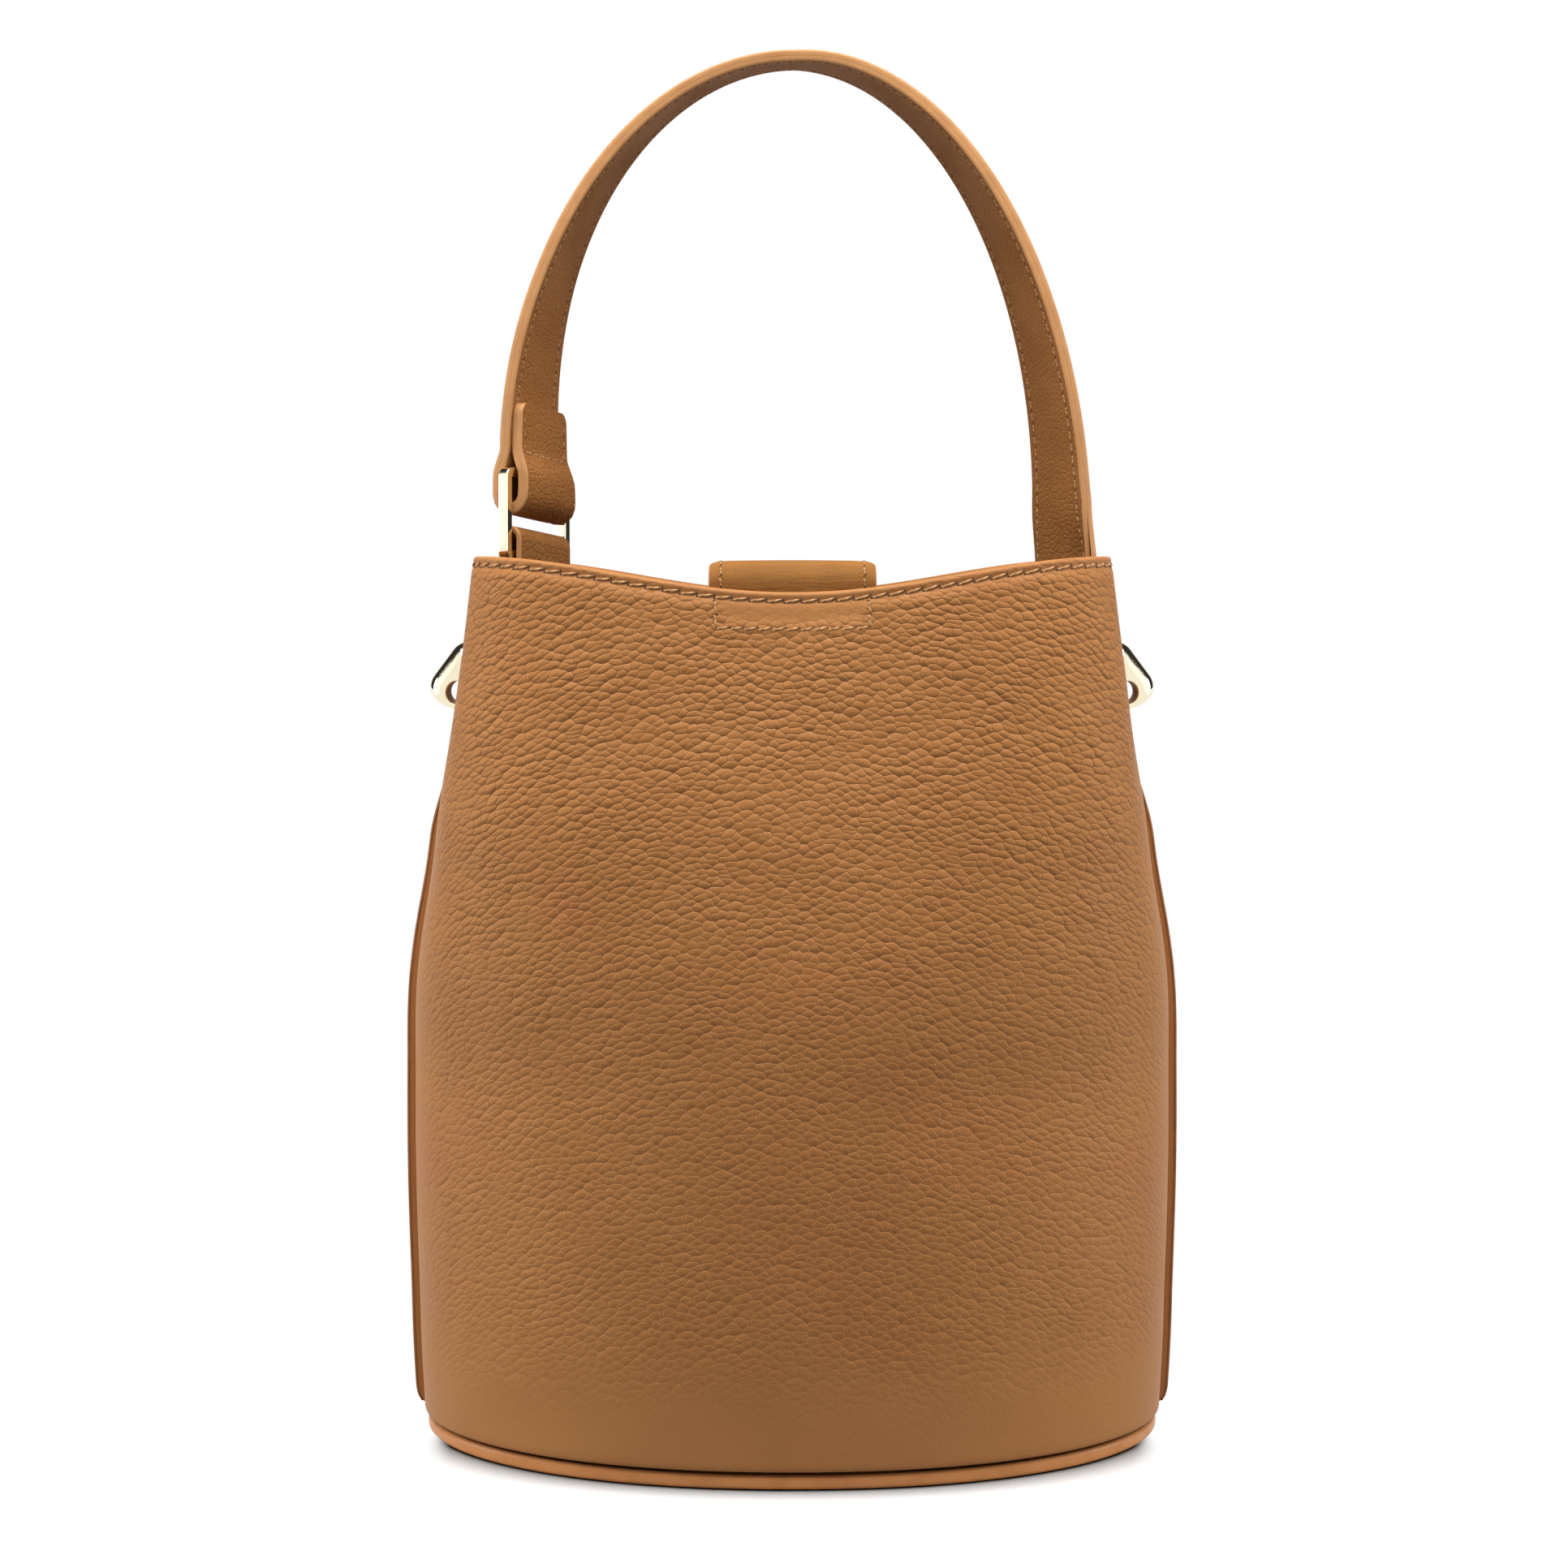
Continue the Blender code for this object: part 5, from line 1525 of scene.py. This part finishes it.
def sew_closure(name, start, end):
    """Stitches along both edges of the tab and across its front end, on both faces."""
    body = stitch_bmesh()
    high = PLY_OFFSET + STITCH_SEAT
    line = np.linspace(start, min(end, closure_end - CLOSURE_STITCH_INSET), 300)
    ahead = np.minimum(line + CLOSURE_STITCH_INSET * 0.4, closure_end)
    inset = closure_half_widths(ahead) - CLOSURE_STITCH_INSET
    for up in (1, -1):
        flat = np.full(len(line), up * high)
        outward = closure.outward_at(line) * up
        for edge in (-1, 1):
            sew(body, on_closure(line, edge * inset, flat), outward, CLOSURE_STITCH)
        if end == closure_end:
            cross = np.linspace(-inset[-1], inset[-1], 30)
            points = on_closure(np.full(30, line[-1]), cross, flat[:30])
            sew(body, points, outward[-30:], CLOSURE_STITCH)
    return stitches_piece(name, body)


def build_closure():
    """The tab: a root that bends at the rim, two plies over the mouth, and their stitches."""
    hinge_end = run_at_height(hinge_high)
    root = closure_piece("closure_root", 0.0, hinge_end, (1, -1))
    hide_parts("closure_tab_root")
    root_thread = sew_closure("closure_root_stitches", run_at_height(RIM_MIDDLE - 6 * MM), hinge_end)
    for bent in (root, root_thread):
        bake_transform(bent)
    outer = closure_piece("closure_outer_ply", hinge_end, closure_end, (1,))
    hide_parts("closure_tab")
    inner = closure_piece("closure_inner_ply", hinge_end, closure_end, (-1,))
    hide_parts("closure_tab_lining")
    threads = sew_closure("closure_stitches", hinge_end, closure_end)
    for made in (outer, inner, threads):
        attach(made, "closure")


# Metal pieces


def frame_at(origin, along):
    """A frame at the origin whose Z axis runs along the direction."""
    along = Vector(along).normalized()
    across = Vector((1.0, 0.0, 0.0))
    if abs(along.x) > 0.5:
        across = Vector((0.0, 1.0, 0.0))
    upright = along.cross(across).normalized()
    across = upright.cross(along)
    return Matrix.Translation(origin) @ Matrix((across, upright, along)).transposed().to_4x4()


def turned(name, node, place, profile, body_name, closed=False):
    """A turned piece of metal: the profile's points are (radius, height) along the frame's Z axis."""
    body = bmesh.new()
    body.loops.layers.uv.new("surface")
    chain = [body.verts.new((radius, 0.0, height)) for radius, height in profile]
    edges = [body.edges.new(pair) for pair in zip(chain, chain[1:])]
    if closed:
        edges.append(body.edges.new((chain[-1], chain[0])))
    bmesh.ops.spin(
        body,
        geom=chain + edges,
        cent=(0.0, 0.0, 0.0),
        axis=(0.0, 0.0, 1.0),
        angle=2 * math.pi,
        steps=TURNED_STEPS,
        use_merge=True,
    )
    bmesh.ops.remove_doubles(body, verts=body.verts, dist=MERGE_DISTANCE)
    face_outwards(body)
    sharp = [edge for edge in body.edges if edge.is_manifold and edge.calc_face_angle() > math.radians(50)]
    bmesh.ops.bevel(
        body,
        geom=sharp,
        offset=TURNED_EASE,
        affect="EDGES",
        segments=2,
        profile=0.5,
        material=-1,
    )
    bmesh.ops.transform(body, matrix=place, verts=body.verts)
    stand_in(piece(name, body, [gold], 35), node, body_name)


def build_snap():
    """The magnetic snap's socket on the front and its stud on the tab."""
    point, outward = front_seat(RIM_MIDDLE - SNAP_DROP)
    place = frame_at((0.0, point.x, point.y), (0.0, outward.x, outward.y))
    top = GAP + SOCKET_HEIGHT
    wall = 2 * GAP
    recess = STUD_RADIUS + 2 * GAP
    floor = top - SOCKET_RECESS
    socket = [
        (0.0, floor),
        (recess, floor),
        (recess, top),
        (SNAP_RADIUS - wall, top),
        (SNAP_RADIUS, top - wall),
        (SNAP_RADIUS, 0.0),
        (0.0, 0.0),
    ]
    turned("snap_socket_cup", "snap_socket", place, socket, "bag")
    foot = top + GAP
    stud = [
        (0.0, foot + STUD_FLANGE + 0.2 * MM),
        (SNAP_RADIUS - wall, foot + STUD_FLANGE + 0.2 * MM),
        (SNAP_RADIUS - wall, foot),
        (STUD_RADIUS, foot),
        (STUD_RADIUS, floor + GAP),
        (0.0, floor + GAP),
    ]
    turned("snap_stud_plate", "snap_stud", place, stud, "closure")


def lug_outline():
    """The lug's outline as (outwards, up the seam), evenly spaced."""
    corners = [(LUG_FOOT, -LUG_LOW), (LUG_REACH, -LUG_LOW)]
    corners += [(LUG_REACH - LUG_SLANT, LUG_HIGH), (LUG_FOOT, LUG_HIGH)]
    radii = [LUG_FOOT_RADIUS, LUG_NOSE_RADIUS, LUG_NOSE_RADIUS, LUG_FOOT_RADIUS]
    loop = rounded_loop([Vector(corner) for corner in corners], radii)
    points = np.array([tuple(point) for point in loop + loop[:1]])
    run = running_lengths(points)
    return resample(np.linspace(0.0, run[-1], 97), run, points)


def build_lug(side_name, side):
    """A cast lug: bulging flanks, flat faces and an eye through it."""
    seam_height = BODY_HEIGHT - LUG_DROP
    high_x = seat_x(0.0, seam_height + LUG_LOW, 0.0)
    low_x = seat_x(0.0, seam_height - LUG_LOW, 0.0)
    lean = math.atan2(low_x - high_x, 2 * LUG_LOW)
    seam = np.array([side * (low_x + high_x) / 2, 0.0, seam_height])
    outward = np.array([side * math.cos(lean), 0.0, math.sin(lean)])
    upward = np.array([-side * math.sin(lean), 0.0, math.cos(lean)])
    outline = lug_outline()
    still = np.array([0.15 * LUG_REACH, -0.8 * LUG_LOW])
    eye = np.array([LUG_EYE_REACH, -LUG_EYE_DROP])
    face = still + (outline - still) * LUG_FACE_SCALE
    spokes = (face - eye) / np.linalg.norm(face - eye, axis=1)[:, None]
    chamfer = LUG_CHAMFER
    thick = LUG_HALF_THICKNESS
    loops = []
    for level, depth in arc(-90, 90, 27):
        scale = LUG_FACE_SCALE + (1 - LUG_FACE_SCALE) * level
        loops.append((still + (outline - still) * scale, depth * thick))
    rim = eye + spokes * (LUG_EYE_RADIUS + chamfer)
    bore = eye + spokes * LUG_EYE_RADIUS
    into_eye = [(face + (rim - face) * share, thick) for share in (0.03, 0.5, 0.97)]
    into_eye += [(rim, thick), (eye + spokes * (LUG_EYE_RADIUS + 0.3 * chamfer), thick - 0.3 * chamfer)]
    into_eye += [(bore, thick - chamfer), (bore, 0.9 * thick - chamfer)]
    loops += into_eye + [(flat, -depth) for flat, depth in reversed(into_eye)] + loops[:1]

    def place(a, b):
        column = nearest(a, len(outline))
        row = nearest(b, len(loops))
        flat = np.array([loops[r][0][c] for r, c in zip(row, column)])
        flat[:, 0] = np.maximum(flat[:, 0], LUG_FOOT)
        depth = np.array([loops[r][1] for r in row])
        points = seam + flat[:, :1] * outward + flat[:, 1:] * upward
        points[:, 1] = depth
        return points, flat, 1.0

    # Faces inside the eye: rougher cast gold, with painted shade in its dark colour
    bands = [int(flat is bore and other is bore) for (flat, _), (other, _) in zip(loops, loops[1:])]
    body = skin(place, len(outline) - 1, len(loops) - 1, closed=True, row_bands=bands)
    face_outwards(body)
    made = piece("lug_" + side_name, body, [gold, shaded_cast_gold], 30)
    stand_in(made, "strap_lug_" + side_name, "bag")
    place = frame_at(Vector(seam + upward * SCREW_RISE), Vector(outward))
    washer_top = -(FACING_INSIDE + 0.2 * MM)
    washer_foot = washer_top - LUG_WASHER_THICKNESS
    washer = [(0.0, washer_top), (LUG_WASHER_RADIUS, washer_top)]
    washer += [(LUG_WASHER_RADIUS, washer_foot), (0.0, washer_foot)]
    turned("lug_washer_disc_" + side_name, "lug_washer_" + side_name, place, washer, "bag")
    head = washer_foot - SCREW_HEAD_HEIGHT
    screw = [
        (0.0, washer_foot),
        (SCREW_HEAD_RADIUS, washer_foot),
        (SCREW_HEAD_RADIUS, head + SCREW_HEAD_HEIGHT / 2),
        (0.7 * SCREW_HEAD_RADIUS, head),
        (0.35 * SCREW_HEAD_RADIUS, head),
        (0.32 * SCREW_HEAD_RADIUS, head + 0.6 * SCREW_HEAD_HEIGHT),
        (0.0, head + 0.6 * SCREW_HEAD_HEIGHT),
    ]
    turned("lug_screw_head_" + side_name, "lug_screw_" + side_name, place, screw, "bag")


# The pieces

build_panel("back_leather", "back_panel", -1, 5)
build_panel("front_leather", "front_panel", 1, 9)
build_seam_edge("seam_edge_left", -1)
build_seam_edge("seam_edge_right", 1)
facing_faces = (FACING_OUTSIDE + 0.05 * MM, FACING_INSIDE + 0.05 * MM)
facing_rows = band_profile(*facing_faces, FACING_FOOT, 1.0, -1.3 * MM, 10)
build_ring_layer("mouth_facing_leather", "mouth_facing", facing_rows, facing_leather)
build_ring_layer("lining_cloth", "lining_wall", lining_profile(), suede)
plate = plate_rows(-BASE_INSET, 0.0, BASE_THICKNESS - BASE_GROOVE, 0.9 * MM)
build_plate("base_plate", "base_panel", plate, [facing_leather, base_paint])
floor = plate_rows(-(LINING_OUTSIDE + LINING + GAP), LINING_FOOT, LINING_FOOT + LINING, 0.2 * MM)
build_plate("lining_floor_cloth", "lining_floor", floor, [suede, suede])
sew_rim()
build_handle()
build_root("handle_sewn_end", "handle_root", 1, HANDLE_ROOT_TOP, HANDLE_ROOT_LENGTH)
build_handle_bend()
build_ring_tab()
build_root("ring_loop_sewn_end", "ring_tab_root", -1, TAB_ROOT_TOP, TAB_ROOT_LENGTH)
build_ring()
build_closure()
build_snap()
build_lug("left", -1)
build_lug("right", 1)

for node, finish in (
    ("base_board", board_finish),
    ("back_stiffener", board_finish),
    ("front_stiffener", board_finish),
    ("snap_magnet", magnet_finish),
    ("snap_socket_washer", gold),
    ("snap_stud_washer", gold),
):
    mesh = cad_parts[node].data
    mesh.materials.clear()
    mesh.materials.append(finish)


# Stage, light and camera


def build_floor():
    """A white floor that is dark only close to the foot of the bag, where a shadow is painted into its colour
    from ambient occlusion.
    """
    body = bmesh.new()
    bmesh.ops.create_grid(body, x_segments=1, y_segments=1, size=6.0)
    mesh = bpy.data.meshes.new("floor")
    body.to_mesh(mesh)
    body.free()
    floor = bpy.data.objects.new("floor", mesh)
    floor.location.z = -FLOOR_DROP
    bpy.context.scene.collection.objects.link(floor)
    finish = new_finish("white_floor")
    finish.nodes.clear()
    x, y = finish.split(finish.own_place())
    reach = ((x / SHADOW_HALF_LENGTH) ** 2 + ((y + SHADOW_SHIFT) / SHADOW_HALF_DEPTH) ** 2) ** 0.5
    far = finish.between(reach, 0.98, 1.06)
    direct, glossy, clear = finish.rays()
    seen = direct + glossy + clear
    # Painted shadow: the floor's colour darkens with ambient occlusion near the bag
    open_sky = finish.node("ShaderNodeAmbientOcclusion", {"samples": 12}, {"Distance": SHADOW_REACH}, 1)
    near = finish.mix(finish.between(open_sky, 0.32, 0.84), FLOOR_SHADOW, FLOOR_LIT)
    tone = finish.mix(seen, FLOOR_BOUNCE, near)
    matte = finish.node("ShaderNodeBsdfDiffuse", None, {"Color": tone})
    glow = finish.node("ShaderNodeEmission", None, {"Color": WHITE, "Strength": 1.0})
    mixed = finish.node("ShaderNodeMixShader", None, {0: seen * far, 1: matte, 2: glow})
    output = finish.nodes.new("ShaderNodeOutputMaterial")
    finish.links.new(mixed.socket, output.inputs["Surface"])
    mesh.materials.append(finish.owner)


def build_world():
    """A white background; metal also sees the dark room between the white backdrop and the white front."""
    world = bpy.data.worlds.new("studio")
    bpy.context.scene.world = world
    finish = Finish(world)
    finish.nodes.clear()
    across, back = finish.split(finish.node("ShaderNodeTexCoord"))
    direct, glossy, clear = finish.rays()
    backdrop = finish.between(back, 0.74, 0.86)
    front = finish.between(back, -0.05, -0.45) * (finish.between(across * across, 0.20, 0.55) * 0.35 + 1)
    room = finish.node("ShaderNodeMath", {"operation": "MAXIMUM"}, {0: backdrop, 1: front})
    fill = finish.node("ShaderNodeBackground", None, {"Color": WHITE, "Strength": 0.08})
    room = finish.node("ShaderNodeBackground", None, {"Color": WHITE, "Strength": room * 0.97 + 0.03})
    white = finish.node("ShaderNodeBackground", None, {"Color": WHITE, "Strength": 1.0})
    mixed = finish.node("ShaderNodeMixShader", None, {0: glossy, 1: fill, 2: room})
    mixed = finish.node("ShaderNodeMixShader", None, {0: direct + clear, 1: mixed, 2: white})
    output = finish.nodes.new("ShaderNodeOutputWorld")
    finish.links.new(mixed.socket, output.inputs["Surface"])


def add_light(name, place, aim, size, power):
    data = bpy.data.lights.new(name, "AREA")
    data.shape = "RECTANGLE"
    data.size, data.size_y = size
    data.energy = power
    lamp = bpy.data.objects.new(name, data)
    lamp.location = place
    lamp.rotation_euler = (Vector(aim) - Vector(place)).to_track_quat("-Z", "Y").to_euler()
    lamp.visible_camera = False
    bpy.context.scene.collection.objects.link(lamp)


def build_camera():
    data = bpy.data.cameras.new("camera")
    data.sensor_width = CAMERA_SENSOR
    data.lens = CAMERA_LENS
    data.shift_y = CAMERA_SHIFT
    camera = bpy.data.objects.new("camera", data)
    camera.location = CAMERA_PLACE
    camera.rotation_euler = (math.radians(90), 0.0, 0.0)
    bpy.context.scene.collection.objects.link(camera)
    bpy.context.scene.camera = camera


build_floor()
build_world()
add_light("top_softbox", (0.0, -0.22, 0.78), (0.0, -0.04, 0.18), (0.8, 0.4), 8.45)
add_light("left_softbox", (-1.1, -0.05, 0.30), (0.0, 0.0, 0.14), (0.5, 0.9), 8.3)
add_light("right_softbox", (1.1, -0.05, 0.30), (0.0, 0.0, 0.14), (0.5, 0.9), 7.1)
build_camera()
bpy.context.scene.view_settings.view_transform = "Standard"
